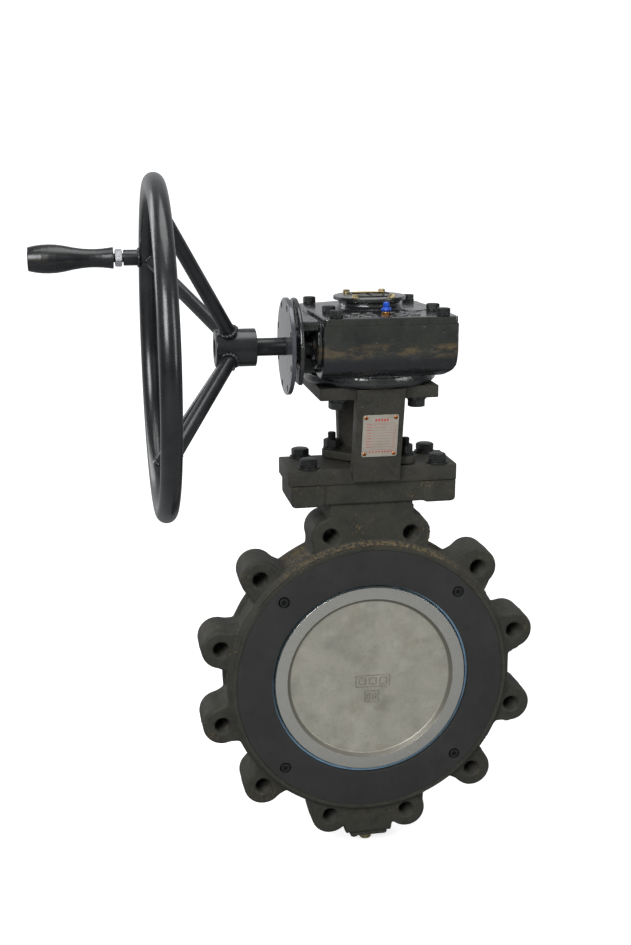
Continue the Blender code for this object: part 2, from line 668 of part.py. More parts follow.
def join_housing_walls(house):
    """Everything added to the turned chamber."""
    worm_case = tool(cylinder("house_worm_case", 33, 147, 32, base=-67.5),
                     (0, -59, 397), ALONG_X)
    cut(worm_case, tool(box("house_case_top", (-100, -120, 423.4), (100, 20, 460))))
    join(house, worm_case)
    join(house, tool(box("house_front", (HOUSE_X0, -91.5, 396), (HOUSE_X1, -40, HOUSE_Z1))))
    join(house, tool(outline_mesh("house_rim", [cover_outline()], 413.0, HOUSE_Z1 - 0.01)))
    # side wing: roof over the input shaft, walls below it
    for name, low, high in (
            ("house_wing_roof", (-95.5, -85, 417), (-69.8, 24, 429.5)),
            ("house_wing_bridge", (-72, -80, 416.5), (-60, 20, 423.5)),
            ("house_wing_wall", (-94.5, -44, 367), (-45, -34, 421)),
            ("house_wing_rear", (-94.5, 14, 372), (-40, 23, 421))):
        join(house, tool(box(name, low, high)))
    # round wall carrying the input flange, cut off flat at the bottom
    wall = tool(turned("house_flange_wall", [
        (0, -91), (FLANGE_R, -91), (FLANGE_R, -96), (0, -96)], 36), ON_WORM, ALONG_X)
    cut(wall, tool(box("house_wall_trim", (-98, -140, 300), (-88, 20, 364))))
    join(house, wall)
    join(house, tool(box("house_wall_tie", (-95.8, -40, 367), (-91.2, 22, 428))))
    for i, side in enumerate(SIDES):
        boss = cylinder("house_stop_boss_%d" % i, 9.5, 26, 16, base=-70)
        join(house, tool(boss, (STEM_X + side * STOP_X, 0, WORM_Z), TO_FRONT))


def gear_housing():
    house = turned("gear_housing", [
        (0, HOUSE_Z1), (68, HOUSE_Z1), (68, 366), (75, 364), (75, 355), (72, HOUSE_Z0),
        (0, HOUSE_Z0)], 40)
    join_housing_walls(house)
    cavity = turned("house_cavity", [(0, 440), (57.5, 440), (57.5, 377), (0, 377)], 36)
    cut(house, tool(cavity, ON_STEM))
    cut(house, tool(cylinder("house_lid_relief", 17.0, 60, 24, base=340), ON_STEM))
    worm_bore = cylinder("house_worm_bore", 18.5, 131, 24, base=-72)
    cut(house, tool(worm_bore, ON_WORM, ALONG_X))
    end_relief = cylinder("house_end_relief", 25.6, 10.2, 28, base=-77.8)
    cut(house, tool(end_relief, ON_WORM, ALONG_X))
    drill(house, "house_holes",
          upright_holes(F12_BOLTS, HOUSE_Z0 - GAP, 6.3, 30)
          + [((x, y, 420), Z_DIR, 4.3, 26, 12) for x, y in COVER_BOLTS]
          + [((STEM_X + side * STOP_X, 52, WORM_Z), Y_DIR, 5.3, 60, 12) for side in SIDES]
          + [((-93, WORM_Y, WORM_Z), X_DIR, 12.0, 12, 24)])
    register(house, "enamel", ON_STEM)


# ------------------------------------------------------------------ housing cover and fittings
def housing_cover():
    holes = [circle(4.4, 12, x, y) for x, y in COVER_BOLTS]
    holes.append(circle(3.3, 12, NIPPLE_X, NIPPLE_Y))
    lid = outline_mesh("housing_cover", [cover_outline(-0.4)] + holes, COVER_Z0, COVER_Z1)
    base = COVER_Z1 - 1
    boss = turned("cover_boss", [
        (0, 442), (35.5, 442), (36, 441.5), (36, 433), (38.5, base), (0, base)], 32)
    join(lid, tool(boss, ON_STEM))
    join(lid, tool(cylinder("cover_pad", 12.2, 2.4, 20, base=base), (43.3, -31.4, 0)))
    cut(lid, tool(cylinder("cover_bore", 17.3, 60, 24, base=410), ON_STEM))
    register(lid, "enamel")
    for i, (x, y) in enumerate(COVER_BOLTS, 1):
        hex_bolt("cover_bolt_%d" % i, 13, 5.5, 4.0, 22.0, (x, y, COVER_Z1 + 2.5),
                 spin=0.35 * i)


def grease_nipple():
    nipple = turned("grease_nipple", [
        (0, 446.2), (2.2, 446.2), (3.5, 444.8), (3.5, 441), (2.9, 440.2), (5.3, 439),
        (5.3, 437), (4.5, 436.2), (4.9, 435.8), (4.9, 431.9), (3.0, 431.9), (3.0, 425.5),
        (0, 425.5)], 16)
    register(nipple, "blue_cap", (NIPPLE_X, NIPPLE_Y, 0))


def position_indicator():
    """Fixed cap ring on the cover and the slotted pointer that turns with the stem."""
    cap = turned("indicator_cap", [
        (40, 445.6), (40.3, 445.2), (40.3, 442.3), (17.0, 442.3), (17.0, 445.8)],
        36, closed=True)
    drill(cap, "cap_holes", upright_holes(corners(20.3, 27.0), 444, 2.2, 10, 8))
    register(cap, "enamel", ON_STEM)
    pointer = turned("position_pointer", [
        (0, 446.2), (14.5, 446.2), (15.5, 445.4), (15.5, 440.5), (7.0, 440.5),
        (7.0, STEM_TOP + GAP), (0, STEM_TOP + GAP)], 20)
    cut(pointer, tool(box("pointer_slot", (-2, -20, 445.2), (2, 20, 450)), ON_STEM))
    register(pointer, "steel", ON_STEM, parent=DISC_AXIS)


# ------------------------------------------------------------------ worm housing ends
# Profile heights in this section run towards +X.
def input_flange():
    edge_r, bore_r = FLANGE_R - 0.5, SHAFT_R + 0.5
    flange = turned("input_flange", [
        (edge_r, -100), (FLANGE_R, -100.5), (FLANGE_R, -104), (edge_r, -104.5),
        (bore_r, -104.5), (bore_r, -96.3), (20, -96.3), (20, -100)], 36, closed=True)
    places = [polar(45.5, 22.5 + 45 * k) for k in range(8)]        # (y, z) from the worm axis
    drill(flange, "flange_holes",
          [((-102, WORM_Y + y, WORM_Z + z), X_DIR, 3.75, 12, 8) for y, z in places])
    register(flange, "enamel", ON_WORM, ALONG_X)


def worm_end_cover():
    bore_r = SHAFT_R + GAP
    cover = turned("worm_end_cover", [
        (24.5, -67.8), (25, -68.3), (25, -72), (24, -72.6), (15, -72.6), (14, -76),
        (bore_r, -76), (bore_r, -67.8)], 28, closed=True)
    register(cover, "enamel", ON_WORM, ALONG_X)


def worm_bearings():
    for i, (x0, x1) in enumerate(((-51, -40), (40, 51)), 1):
        bearing = plain_ring("worm_bearing_%d" % i, SHAFT_R + GAP, 18.2, x0, x1)
        register(bearing, "steel", ON_WORM, ALONG_X)


def stop_screws():
    """Heads at the rear, tips just short of the sector's end face at full travel."""
    head_y, tip_r, tip_gap = 84.0, 4.5, 0.4
    tip_y = (STOP_X + tip_r) * math.tan(math.radians(SECTOR_MARGIN)) + tip_gap
    for i, side in enumerate(SIDES, 1):
        hex_bolt("stop_screw_%d" % i, 17, 6.4, 5.0, head_y - tip_y,
                 (STEM_X + side * STOP_X, head_y, WORM_Z), TO_REAR, spin=0.2)


# ------------------------------------------------------------------ worm sector gear
PITCH_R = MODULE * GEAR_TEETH / 2


def sector_outline():
    """Hub circle with a toothed sector reaching from below the worm through the quarter turn."""
    hub_r, root_r, tip_r = 27.0, PITCH_R - 1.25 * MODULE, PITCH_R + MODULE
    backlash = 0.25
    pitch = 360.0 / GEAR_TEETH
    start, end = 270.0 - SECTOR_MARGIN, 360.0 + SECTOR_MARGIN
    points = [polar(hub_r, start), polar(root_r, start)]
    for k in range(-2, 10):
        middle = 270.0 + (k + 0.5) * pitch
        half = pitch / 4 - math.degrees(backlash / 2 / PITCH_R)
        for radius, side in ((root_r, -1), (PITCH_R, -1), (tip_r, -1),
                             (tip_r, 1), (PITCH_R, 1), (root_r, 1)):
            taper = math.degrees(PRESSURE_TAN * (radius - PITCH_R) / PITCH_R)
            angle = middle + side * (half - taper)
            if start < angle < end:
                points.append(polar(radius, angle))
    points += [polar(root_r, end), polar(hub_r, end)]
    return points + arc(hub_r, end, start + 360, 12)[1:-1]


def key_bore():
    """Bore with a keyway on the +Y side."""
    half_width, top = 5.0, 19.8
    edge = math.acos(half_width / STEM_BORE_R)
    edge_y = STEM_BORE_R * math.sin(edge)
    edge = math.degrees(edge)
    return ([(half_width, top), (half_width, edge_y)]
            + arc(STEM_BORE_R, edge, -180 - edge, 20)[1:-1]
            + [(-half_width, edge_y), (-half_width, top)])


def lean_teeth(mesh):
    """Left-hand helix of the worm: twist the rim across its face, fading out near the hub."""
    mid_z = (GEAR_Z0 + GEAR_Z1) / 2 * MM
    fade_start, fade_width = 30 * MM, 14 * MM
    for vertex in mesh.vertices:
        x, y, z = vertex.co
        fade = min(max((math.hypot(x, y) - fade_start) / fade_width, 0.0), 1.0)
        twist = -fade * (z - mid_z) / WORM_Q / (PITCH_R * MM)
        vertex.co.x = x * math.cos(twist) - y * math.sin(twist)
        vertex.co.y = x * math.sin(twist) + y * math.cos(twist)


def gear_sector():
    sector = outline_mesh("gear_sector", [sector_outline(), key_bore()], GEAR_Z0, GEAR_Z1)
    lean_teeth(sector.data)
    hub = outline_mesh("sector_hub", [circle(26.5, 24), key_bore()], 384.5, 415.5)
    join(sector, tool(hub, ON_STEM))
    register(sector, "bronze", ON_STEM, parent=DISC_AXIS)


# ------------------------------------------------------------------ worm shaft
WORM_PITCH_R = MODULE * WORM_Q / 2
WORM_ROOT_R = WORM_PITCH_R - 1.25 * MODULE


def worm_thread():
    """Left-hand trapezoidal thread, one start, closed at both ends; its crest faces the gear at
    mid length, where the sector has a tooth space."""
    turns, per_turn, backlash = 4.6, 18, 0.35
    lead = math.pi * MODULE
    half = lead / 4 - backlash / 2
    foot_r = WORM_ROOT_R - 0.8              # sunk into the shaft
    low_r = WORM_ROOT_R - 0.6
    half_foot = half + PRESSURE_TAN * (WORM_PITCH_R - foot_r)
    bm = bmesh.new()
    sections = []
    count = int(turns * per_turn)
    for i in range(count + 1):
        turn = (i - count / 2) / per_turn                 # turns from the middle
        angle = TAU * turn                                # 0 points to the gear, world +Y
        x = -lead * turn                                  # left hand
        fade = min(1.0, (count / 2 - abs(i - count / 2)) / (per_turn * 0.35))
        tip_r = low_r + (WORM_PITCH_R + MODULE - low_r) * max(fade, 0.12)
        half_tip = half - PRESSURE_TAN * (tip_r - WORM_PITCH_R)
        section = []
        for radius, dx in ((foot_r, -half_foot), (tip_r, -half_tip),
                           (tip_r, half_tip), (foot_r, half_foot)):
            y, z = radius * math.cos(angle), radius * math.sin(angle)
            section.append(bm.verts.new((-z * MM, y * MM, (x + dx) * MM)))
        sections.append(section)
    for a, b in zip(sections, sections[1:]):
        for j in range(4):
            k = (j + 1) % 4
            bm.faces.new((a[j], a[k], b[k], b[j]))
    bm.faces.new(sections[0][::-1])
    bm.faces.new(sections[-1])
    bmesh.ops.triangulate(bm, faces=bm.faces)
    bmesh.ops.recalc_face_normals(bm, faces=bm.faces)
    return from_bmesh(bm, "worm_thread")


def wheel_pin_hole(length):
    return [((WHEEL_PIN_X, WORM_Y, WORM_Z), Z_DIR, 3.3, length, 12)]


def worm_shaft():
    end_r = SHAFT_R - 1
    shaft = turned("worm_shaft", [
        (0, 57), (end_r, 57), (SHAFT_R, 56), (SHAFT_R, 31), (WORM_ROOT_R, 28),
        (WORM_ROOT_R, -28), (SHAFT_R, -31), (SHAFT_R, -176), (end_r, -177), (0, -177)], 22)
    join(shaft, tool(worm_thread(), (STEM_X, WORM_Y, WORM_Z), ALONG_X))
    drill(shaft, "shaft_pin_hole", wheel_pin_hole(30))
    register(shaft, "steel", ON_WORM, ALONG_X, WHEEL_AXIS)


# ------------------------------------------------------------------ handwheel (one weldment)
def wheel_rim():
    bpy.ops.mesh.primitive_torus_add(major_segments=44, minor_segments=10,
                                     major_radius=WHEEL_R * MM, minor_radius=WHEEL_TUBE_R * MM)
    rim = bpy.context.object
    for collection in list(rim.users_collection):
        collection.objects.unlink(rim)
    rim.name = rim.data.name = "handwheel"
    rim.data.transform(Matrix.Translation((0, 0, WHEEL_X * MM)))
    rim.data.shade_smooth()
    return rim


def handwheel():
    wheel = wheel_rim()
    rim_reach = WHEEL_R - 3
    for i, angle in enumerate(SPOKE_ANGLES):
        y0, z0 = polar(12, angle)
        y1, z1 = polar(rim_reach, angle)
        inner = Vector((SPOKE_X0 - 5.0, WORM_Y + y0, WORM_Z + z0))
        run = Vector((WHEEL_X, WORM_Y + y1, WORM_Z + z1)) - inner
        spoke = cylinder("wheel_spoke_%d" % i, SPOKE_R, run.length, 12)
        aim = Vector(Z_DIR).rotation_difference(run.normalized()).to_euler()
        join(wheel, tool(spoke, inner, aim))
    hub = turned("wheel_hub", pin_profile(HUB_R, HUB_X1, HUB_X0, 1, 1), 24)
    join(wheel, tool(hub, ON_WORM, ALONG_X))
    handle_boss = cylinder("wheel_handle_boss", 9.0, 29.0, 16, base=-265.0)
    join(wheel, tool(handle_boss, ON_HANDLE, ALONG_X))
    bore = cylinder("wheel_bore", SHAFT_R + GAP, 60, 20, base=-190)
    cut(wheel, tool(bore, ON_WORM, ALONG_X))
    drill(wheel, "wheel_pin_hole", wheel_pin_hole(60))
    spindle_hole = cylinder("wheel_spindle_hole", 5.3, 24, 12, base=-270)
    cut(wheel, tool(spindle_hole, ON_HANDLE, ALONG_X))
    register(wheel, "wheel_paint", ON_WORM, ALONG_X, WHEEL_AXIS)
    pin = turned("handwheel_pin", pin_profile(3.0, 19.0, -19.0, 0.6, 0.6), 12)
    register(pin, "steel", (WHEEL_PIN_X, WORM_Y, WORM_Z), parent=WHEEL_AXIS)


# ------------------------------------------------------------------ handle
def handle():
    """Spindle and nut fixed to the wheel, and the grip that turns on the spindle."""
    spindle = turned("handle_spindle", [
        (0, -247), (5.0, -247), (5.0, -367.0), (7.5, -367.0), (7.5, -369.2),
        (6.5, -370.0), (0, -370.0)], 12)
    register(spindle, "black_oxide", ON_HANDLE, ALONG_X, WHEEL_AXIS)
    nut = hexagon("handle_nut", 18, 8.0, -274.5, spin=0.2)
    bore = cylinder("handle_nut_bore", 5.3, 20, 12, base=-280)
    cut(nut, tool(bore, ON_HANDLE, ALONG_X))
    register(nut, "zinc", ON_HANDLE, ALONG_X, WHEEL_AXIS)
    grip = turned("handle_grip", [
        (11.6, -276.2), (12.1, -276.8), (11.5, -282), (10.6, -289.5), (10.4, -301),
        (11.0, -311), (12.6, -321.5), (15.0, -333.5), (16.2, -345), (16.0, -356),
        (14.7, -365), (13.3, -370.6), (12.6, -371.3), (9.0, -371.3), (9.0, -366.6),
        (5.3, -366.6), (5.3, -276.2)], 18, closed=True)
    register(grip, "grip", ON_HANDLE, ALONG_X, HANDLE_AXIS)


# ------------------------------------------------------------------ build
DISC_AXIS = axis_empty("disc_axis", ON_STEM)
WHEEL_AXIS = axis_empty("handwheel_axis", ON_WORM)
HANDLE_AXIS = axis_empty("handle_axis", ON_HANDLE)

for build in (
        valve_body, seat_ring, retainer_ring, disc, disc_pins, stem, stem_rings,
        gland_flange, gland_studs, bottom_cover, bottom_plug,
        yoke_bracket, bracket_bolts, nameplate,
        gear_housing, housing_cover, grease_nipple, position_indicator,
        input_flange, worm_end_cover, worm_bearings, stop_screws,
        gear_sector, worm_shaft, handwheel, handle):
    build()
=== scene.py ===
"""Lug-type butterfly valve with a worm-gear operator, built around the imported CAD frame.

The pipe runs along Y and the valve's front is -Y. The stem stands along Z, the worm shaft lies
along X, and the handwheel is at its -X end.
"""

import json
import math

import bmesh
import bpy
import numpy as np
from mathutils import Matrix, Vector, noise

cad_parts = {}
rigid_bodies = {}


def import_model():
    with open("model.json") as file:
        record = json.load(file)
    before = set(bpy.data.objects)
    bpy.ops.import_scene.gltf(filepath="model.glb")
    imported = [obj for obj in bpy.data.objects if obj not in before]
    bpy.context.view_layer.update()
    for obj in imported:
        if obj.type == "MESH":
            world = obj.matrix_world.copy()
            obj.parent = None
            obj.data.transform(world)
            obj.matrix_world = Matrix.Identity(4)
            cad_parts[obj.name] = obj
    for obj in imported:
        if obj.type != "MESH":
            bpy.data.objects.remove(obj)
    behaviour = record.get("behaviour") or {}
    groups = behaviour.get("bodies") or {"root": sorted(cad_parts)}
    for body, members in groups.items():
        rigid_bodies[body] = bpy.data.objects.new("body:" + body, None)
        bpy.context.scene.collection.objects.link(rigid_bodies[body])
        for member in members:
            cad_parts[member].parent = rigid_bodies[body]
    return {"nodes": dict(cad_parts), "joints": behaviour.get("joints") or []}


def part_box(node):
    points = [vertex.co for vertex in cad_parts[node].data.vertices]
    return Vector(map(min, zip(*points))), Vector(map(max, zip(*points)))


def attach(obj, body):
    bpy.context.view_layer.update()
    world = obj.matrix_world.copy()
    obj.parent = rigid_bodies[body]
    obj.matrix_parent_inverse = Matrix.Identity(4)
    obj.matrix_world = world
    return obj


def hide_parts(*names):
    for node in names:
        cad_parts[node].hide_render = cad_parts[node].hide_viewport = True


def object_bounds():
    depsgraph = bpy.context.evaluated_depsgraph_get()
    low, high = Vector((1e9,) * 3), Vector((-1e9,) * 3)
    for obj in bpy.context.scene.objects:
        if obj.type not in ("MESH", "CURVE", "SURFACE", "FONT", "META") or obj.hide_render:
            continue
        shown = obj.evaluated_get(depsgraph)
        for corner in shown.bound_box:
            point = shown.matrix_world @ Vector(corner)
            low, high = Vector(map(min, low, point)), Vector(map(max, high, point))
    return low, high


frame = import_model()
cad_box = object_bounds()

MM = 0.001
TAU = 2.0 * math.pi
JOINTS = {joint["name"]: Vector(joint["pos_m"]) for joint in frame["joints"]}
DISC = JOINTS["disc_turn"]            # a point on the stem axis
WHEEL = JOINTS["handwheel_spin"]      # a point on the worm axis
GRIP = JOINTS["handle_spin"]          # a point on the handle axis
DATUM = Vector((0.0, DISC.y, DISC.z))


def span(node):
    """Lowest and highest corner of a node's box, in mm from DATUM."""
    low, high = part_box(node)
    return (low - DATUM) / MM, (high - DATUM) / MM


# ---------------------------------------------------------------- shared dimensions (mm)
STEM_X = DISC.x / MM
WORM_Y, WORM_Z = (WHEEL.y - DATUM.y) / MM, (WHEEL.z - DATUM.z) / MM
HANDLE_Y, HANDLE_Z = (GRIP.y - DATUM.y) / MM, (GRIP.z - DATUM.z) / MM
ON_STEM = (STEM_X, 0, 0)
ON_WORM = (0, WORM_Y, WORM_Z)
ON_HANDLE = (0, HANDLE_Y, HANDLE_Z)

BODY_LOW, BODY_HIGH = span("valve_body")
FACE = -BODY_LOW.y                    # half the face-to-face length
TOP_Z, BOSS_Z = BODY_HIGH.z, BODY_LOW.z

# places of fasteners, measured from the stem axis
BRACKET_BOLT_X, BRACKET_BOLT_Y = 74.4, 27.4
GEARBOX_BOLT = 44.2                   # same along X and Y
FOOT_SCREW = 17.8                     # same along X and Y
STOP_SCREW_X = 45
GLAND_STUD_R, GLAND_ANGLE = 44.0, math.radians(-30.0)
CORNERS = [(sx, sy) for sx in (-1, 1) for sy in (-1, 1)]

RETAINER_SCREW_R = 145.2              # from the pipe axis
RETAINER_SCREWS = [(RETAINER_SCREW_R * math.cos(math.radians(45 + 90 * k)), 0,
                    RETAINER_SCREW_R * math.sin(math.radians(45 + 90 * k))) for k in range(4)]
PLATE_TOP, PLATE_HALF = 257.3, 35.3   # yoke bottom plate: upper face, half its depth in Y
DECK_Z = 338.0                        # underside of the yoke's upper plate

scene = bpy.context.scene
TEMP = bpy.data.collections.new("work")
scene.collection.children.link(TEMP)
LOOKS = bpy.data.collections.new("looks")
scene.collection.children.link(LOOKS)


def at_stem(x, y, z=0):
    return (STEM_X + x, y, z)


def turn_gland(x, y):
    """Turns a point about the stem by the gland's angle."""
    c, s = math.cos(GLAND_ANGLE), math.sin(GLAND_ANGLE)
    return (x * c - y * s, x * s + y * c)


GLAND_STUDS = [turn_gland(side * GLAND_STUD_R, 0) for side in (-1, 1)]


# ---------------------------------------------------------------- material kit
def add_node(tree, kind, inputs=None, **settings):
    """New node; each input takes a plain value or a link from a socket."""
    node = tree.nodes.new(kind)
    for key, value in settings.items():
        setattr(node, key, value)
    for key, value in (inputs or {}).items():
        if isinstance(value, bpy.types.NodeSocket):
            tree.links.new(value, node.inputs[key])
        else:
            node.inputs[key].default_value = value
    return node


def linear(colour):
    """0-255 sRGB to linear."""
    return tuple((c / 255.0) / 12.92 if c / 255.0 <= 0.04045
                 else ((c / 255.0 + 0.055) / 1.055) ** 2.4 for c in colour)


class Shade:
    """One procedural Principled material on object coordinates.

    Colours are 0-255 sRGB; sizes, radii and depths are in mm. A span is the pair of input
    values over which a mask runs from 0 to 1.
    """

    def __init__(self, name, base, rough=0.5, metal=0.0, spec=0.5, coat=0.0, coat_rough=0.08):
        self.material = bpy.data.materials.new(name)
        self.material.use_nodes = True
        self.tree = self.material.node_tree
        self.surface = self.tree.nodes["Principled BSDF"]
        for key, value in (("Metallic", metal), ("Specular IOR Level", spec),
                           ("Coat Weight", coat), ("Coat Roughness", coat_rough)):
            self.surface.inputs[key].default_value = value
        self.object_co = self.node("ShaderNodeTexCoord").outputs["Object"]
        rgba = (*linear(base), 1.0)
        self.material.diffuse_color = rgba
        self.color = self.node("ShaderNodeRGB").outputs[0]
        self.color.default_value = rgba
        self.rough = self.node("ShaderNodeValue").outputs[0]
        self.rough.default_value = rough
        self.normal = None

    def done(self):
        """Links the gathered colour, roughness and normal to the surface."""
        links = [("Base Color", self.color), ("Roughness", self.rough), ("Normal", self.normal)]
        if self.surface.inputs["Coat Weight"].default_value > 0:
            links.append(("Coat Normal", self.normal))
        for key, socket in links:
            self.tree.links.new(socket, self.surface.inputs[key])
        return self.material

    def node(self, kind, inputs=None, **settings):
        return add_node(self.tree, kind, inputs, **settings)

    def math(self, operation, *values):
        return self.node("ShaderNodeMath", dict(enumerate(values)), operation=operation).outputs[0]

    def product(self, result, *factors):
        for factor in factors:
            result = self.math("MULTIPLY", result, factor)
        return result

    def ramp(self, value, span, out=(0.0, 1.0)):
        return self.node("ShaderNodeMapRange", {
            "From Min": span[0], "From Max": span[1], "To Min": out[0], "To Max": out[1],
            "Value": value}, clamp=True).outputs[0]

    # textures
    def coords(self, stretch=(1, 1, 1), rot=(0, 0, 0), shift=(0, 0, 0)):
        return self.node("ShaderNodeMapping", {
            "Scale": stretch, "Rotation": rot, "Location": shift,
            "Vector": self.object_co}).outputs[0]

    def noise(self, size, detail=4.0, rough=0.55, **mapping):
        """Noise whose features measure about size."""
        return self.node("ShaderNodeTexNoise", {
            "Vector": self.coords(**mapping), "Scale": 1000.0 / size, "Detail": detail,
            "Roughness": rough}).outputs["Fac"]

    def cells(self, size, **mapping):
        return self.node("ShaderNodeTexVoronoi", {
            "Vector": self.coords(**mapping), "Scale": 1000.0 / size}).outputs["Distance"]

    def patches(self, size, span, out=(0.0, 1.0), **texture):
        """Mask made of noise patches."""
        return self.ramp(self.noise(size, **texture), span, out)

    # masks from the shape
    def edges(self, span):
        """1 on convex edges, 0 elsewhere."""
        geometry = self.node("ShaderNodeNewGeometry")
        return self.ramp(geometry.outputs["Pointiness"], span)

    def rim(self, radius):
        """1 near an edge, 0 on open faces, on meshes too coarse for pointiness."""
        bevel = self.node("ShaderNodeBevel", {"Radius": radius * MM}, samples=3)
        geometry = self.node("ShaderNodeNewGeometry")
        dot = self.node("ShaderNodeVectorMath", {0: bevel.outputs[0],
                        1: geometry.outputs["Normal"]}, operation="DOT_PRODUCT")
        return self.ramp(self.math("SUBTRACT", 1.0, dot.outputs["Value"]), span=(0.01, 0.12))

    def split(self, vector):
        return self.node("ShaderNodeSeparateXYZ", {0: vector}).outputs

    def facing(self, axis, span):
        """Mask on one component of the surface normal."""
        normal = self.node("ShaderNodeNewGeometry").outputs["Normal"]
        return self.ramp(self.split(normal)["XYZ".index(axis)], span)

    def height(self):
        return self.split(self.object_co)[2]

    def pipe_radius(self):
        """Distance from the pipe axis, in metres."""
        parts = self.split(self.object_co)
        squares = []
        for i in (0, 2):
            offset = self.math("SUBTRACT", parts[i], DATUM[i])
            squares.append(self.math("MULTIPLY", offset, offset))
        return self.math("SQRT", self.math("ADD", *squares))

    def turning(self, radius, pitch):
        """Sine wave across the radius, like lathe marks."""
        return self.math("SINE", self.math("MULTIPLY", radius, TAU / (pitch * MM)))

    # changes to the surface
    def tint(self, colour, *masks, amount=None):
        factors = masks if amount is None else (*masks, amount)
        mask = self.product(*factors)
        self.color = self.node("ShaderNodeMix", {
            "Factor": mask, "A": self.color, "B": (*linear(colour), 1.0)},
            data_type="RGBA").outputs["Result"]

    def stain(self, colour, amount, **patches):
        self.tint(colour, self.patches(**patches), amount=amount)

    def vary_rough(self, amount, **texture):
        """Adds noise of plus or minus amount to the roughness."""
        swing = self.math("SUBTRACT", self.noise(**texture), 0.5)
        self.rough = self.math("ADD", self.rough, self.math("MULTIPLY", swing, 2.0 * amount))

    def blend(self, start, value, mask):
        return self.node("ShaderNodeMix", {"Factor": mask, "A": start, "B": value},
                         data_type="FLOAT").outputs["Result"]

    def mix_rough(self, value, mask):
        self.rough = self.blend(self.rough, value, mask)

    def mix_metal(self, value, mask):
        socket = self.surface.inputs["Metallic"]
        self.tree.links.new(self.blend(socket.default_value, value, mask), socket)

    def bump(self, height, depth):
        inputs = {"Distance": depth * MM, "Strength": 1.0, "Height": height}
        if self.normal is not None:
            inputs["Normal"] = self.normal
        self.normal = self.node("ShaderNodeBump", inputs).outputs[0]

    def dents(self, depth, **texture):
        self.bump(self.noise(**texture), depth)


# ---------------------------------------------------------------- materials
def cast_body():
    s = Shade("mat_body_phosphate", (53, 53, 47), rough=0.64, spec=0.36)
    s.stain((66, 65, 57), amount=0.55, size=38, detail=3, span=(0.40, 0.68))
    s.stain((38, 38, 35), amount=0.65, size=14, detail=5, span=(0.48, 0.72), shift=(3, 1, 2))
    s.stain((88, 86, 76), amount=0.40, size=1.5, detail=3, rough=0.6, span=(0.60, 0.76))
    s.stain((36, 35, 32), amount=0.50, size=1.9, detail=2, span=(0.60, 0.74), shift=(7, 0, 0))
    s.stain((70, 68, 59), amount=0.55, size=4.2, rough=0.7, span=(0.54, 0.70), shift=(6, 2, 1))
    s.stain((30, 30, 27), amount=0.55, size=3.4, rough=0.7, span=(0.56, 0.70), shift=(2, 8, 5))
    # golden-brown flecks of rust gathered in a few places
    region = s.patches(size=34, detail=2, span=(0.53, 0.68), shift=(0, 5, 0.4))
    fleck = s.patches(size=2.6, detail=3, rough=0.65, span=(0.58, 0.68), shift=(1, 9, 4))
    s.tint((138, 112, 66), region, fleck, amount=0.62)
    # a line of brown dust in the corner under the gasket face, above the disc
    radius = s.pipe_radius()
    corner = s.product(s.ramp(radius, span=(0.1625, 0.1650)), s.ramp(radius, span=(0.1700, 0.1665)))
    above = s.ramp(s.height(), span=(DATUM.z + 0.120, DATUM.z + 0.150))
    s.tint((142, 122, 84), corner, above, s.patches(size=4, rough=0.7, span=(0.44, 0.62)),
           amount=0.6)
    # worn edges and fine pale chips
    edge = s.edges(span=(0.54, 0.66))
    s.tint((112, 110, 100), edge, s.patches(size=6, detail=3, span=(0.42, 0.62)), amount=0.55)
    chips = s.ramp(s.cells(size=7.0), span=(0.045, 0.03))
    s.tint((176, 168, 148), chips,
           s.patches(size=60, detail=1, span=(0.56, 0.62), shift=(4, 4, 1)), amount=0.7)
    s.vary_rough(0.08, size=9, detail=3)
    s.dents(depth=0.26, size=9.0, detail=2, rough=0.5)
    s.dents(depth=0.11, size=1.3, detail=3, rough=0.6)
    s.dents(depth=0.05, size=0.45, detail=2, rough=0.6)
    return s.done()


def yoke_steel():
    s = Shade("mat_yoke_phosphate", (56, 55, 49), rough=0.58, spec=0.40)
    s.stain((70, 68, 60), amount=0.50, size=26, detail=3, span=(0.42, 0.68))
    s.stain((38, 38, 34), amount=0.60, size=10, detail=5, span=(0.48, 0.70), shift=(2, 3, 2))
    s.stain((96, 94, 86), amount=0.38, size=1.2, detail=3, rough=0.6, span=(0.60, 0.78))
    s.stain((76, 74, 65), amount=0.5, size=4.0, rough=0.7, span=(0.54, 0.70), shift=(6, 2, 1))
    s.stain((32, 32, 29), amount=0.5, size=3.2, rough=0.7, span=(0.56, 0.70), shift=(2, 8, 5))
    # scratches
    s.stain((104, 101, 90), amount=0.30, size=6, detail=6, rough=0.7, span=(0.62, 0.70),
            stretch=(1, 1, 0.06), rot=(0.2, 0.1, 0.3))
    chips = s.ramp(s.cells(size=6.0, shift=(1, 0, 0)), span=(0.07, 0.045))
    near_edge = s.rim(radius=0.9)
    s.tint((196, 190, 172), chips,
           s.patches(size=50, detail=1, span=(0.56, 0.62), shift=(0, 2, 0)))
    s.tint((108, 104, 94), near_edge, s.patches(size=5, detail=3, span=(0.42, 0.62)), amount=0.6)
    s.tint((206, 200, 184), near_edge,
           s.patches(size=2.4, detail=2, span=(0.62, 0.66), shift=(5, 1, 0)), amount=0.7)
    s.tint((120, 96, 60), s.patches(size=30, detail=2, span=(0.58, 0.70), shift=(0, 6, 3)),
           s.patches(size=2.2, detail=3, span=(0.58, 0.68)), amount=0.5)
    s.vary_rough(0.08, size=8, detail=3)
    s.dents(depth=0.10, size=6.0, detail=2, rough=0.5)
    s.dents(depth=0.06, size=0.9, detail=3, rough=0.6)
    return s.done()


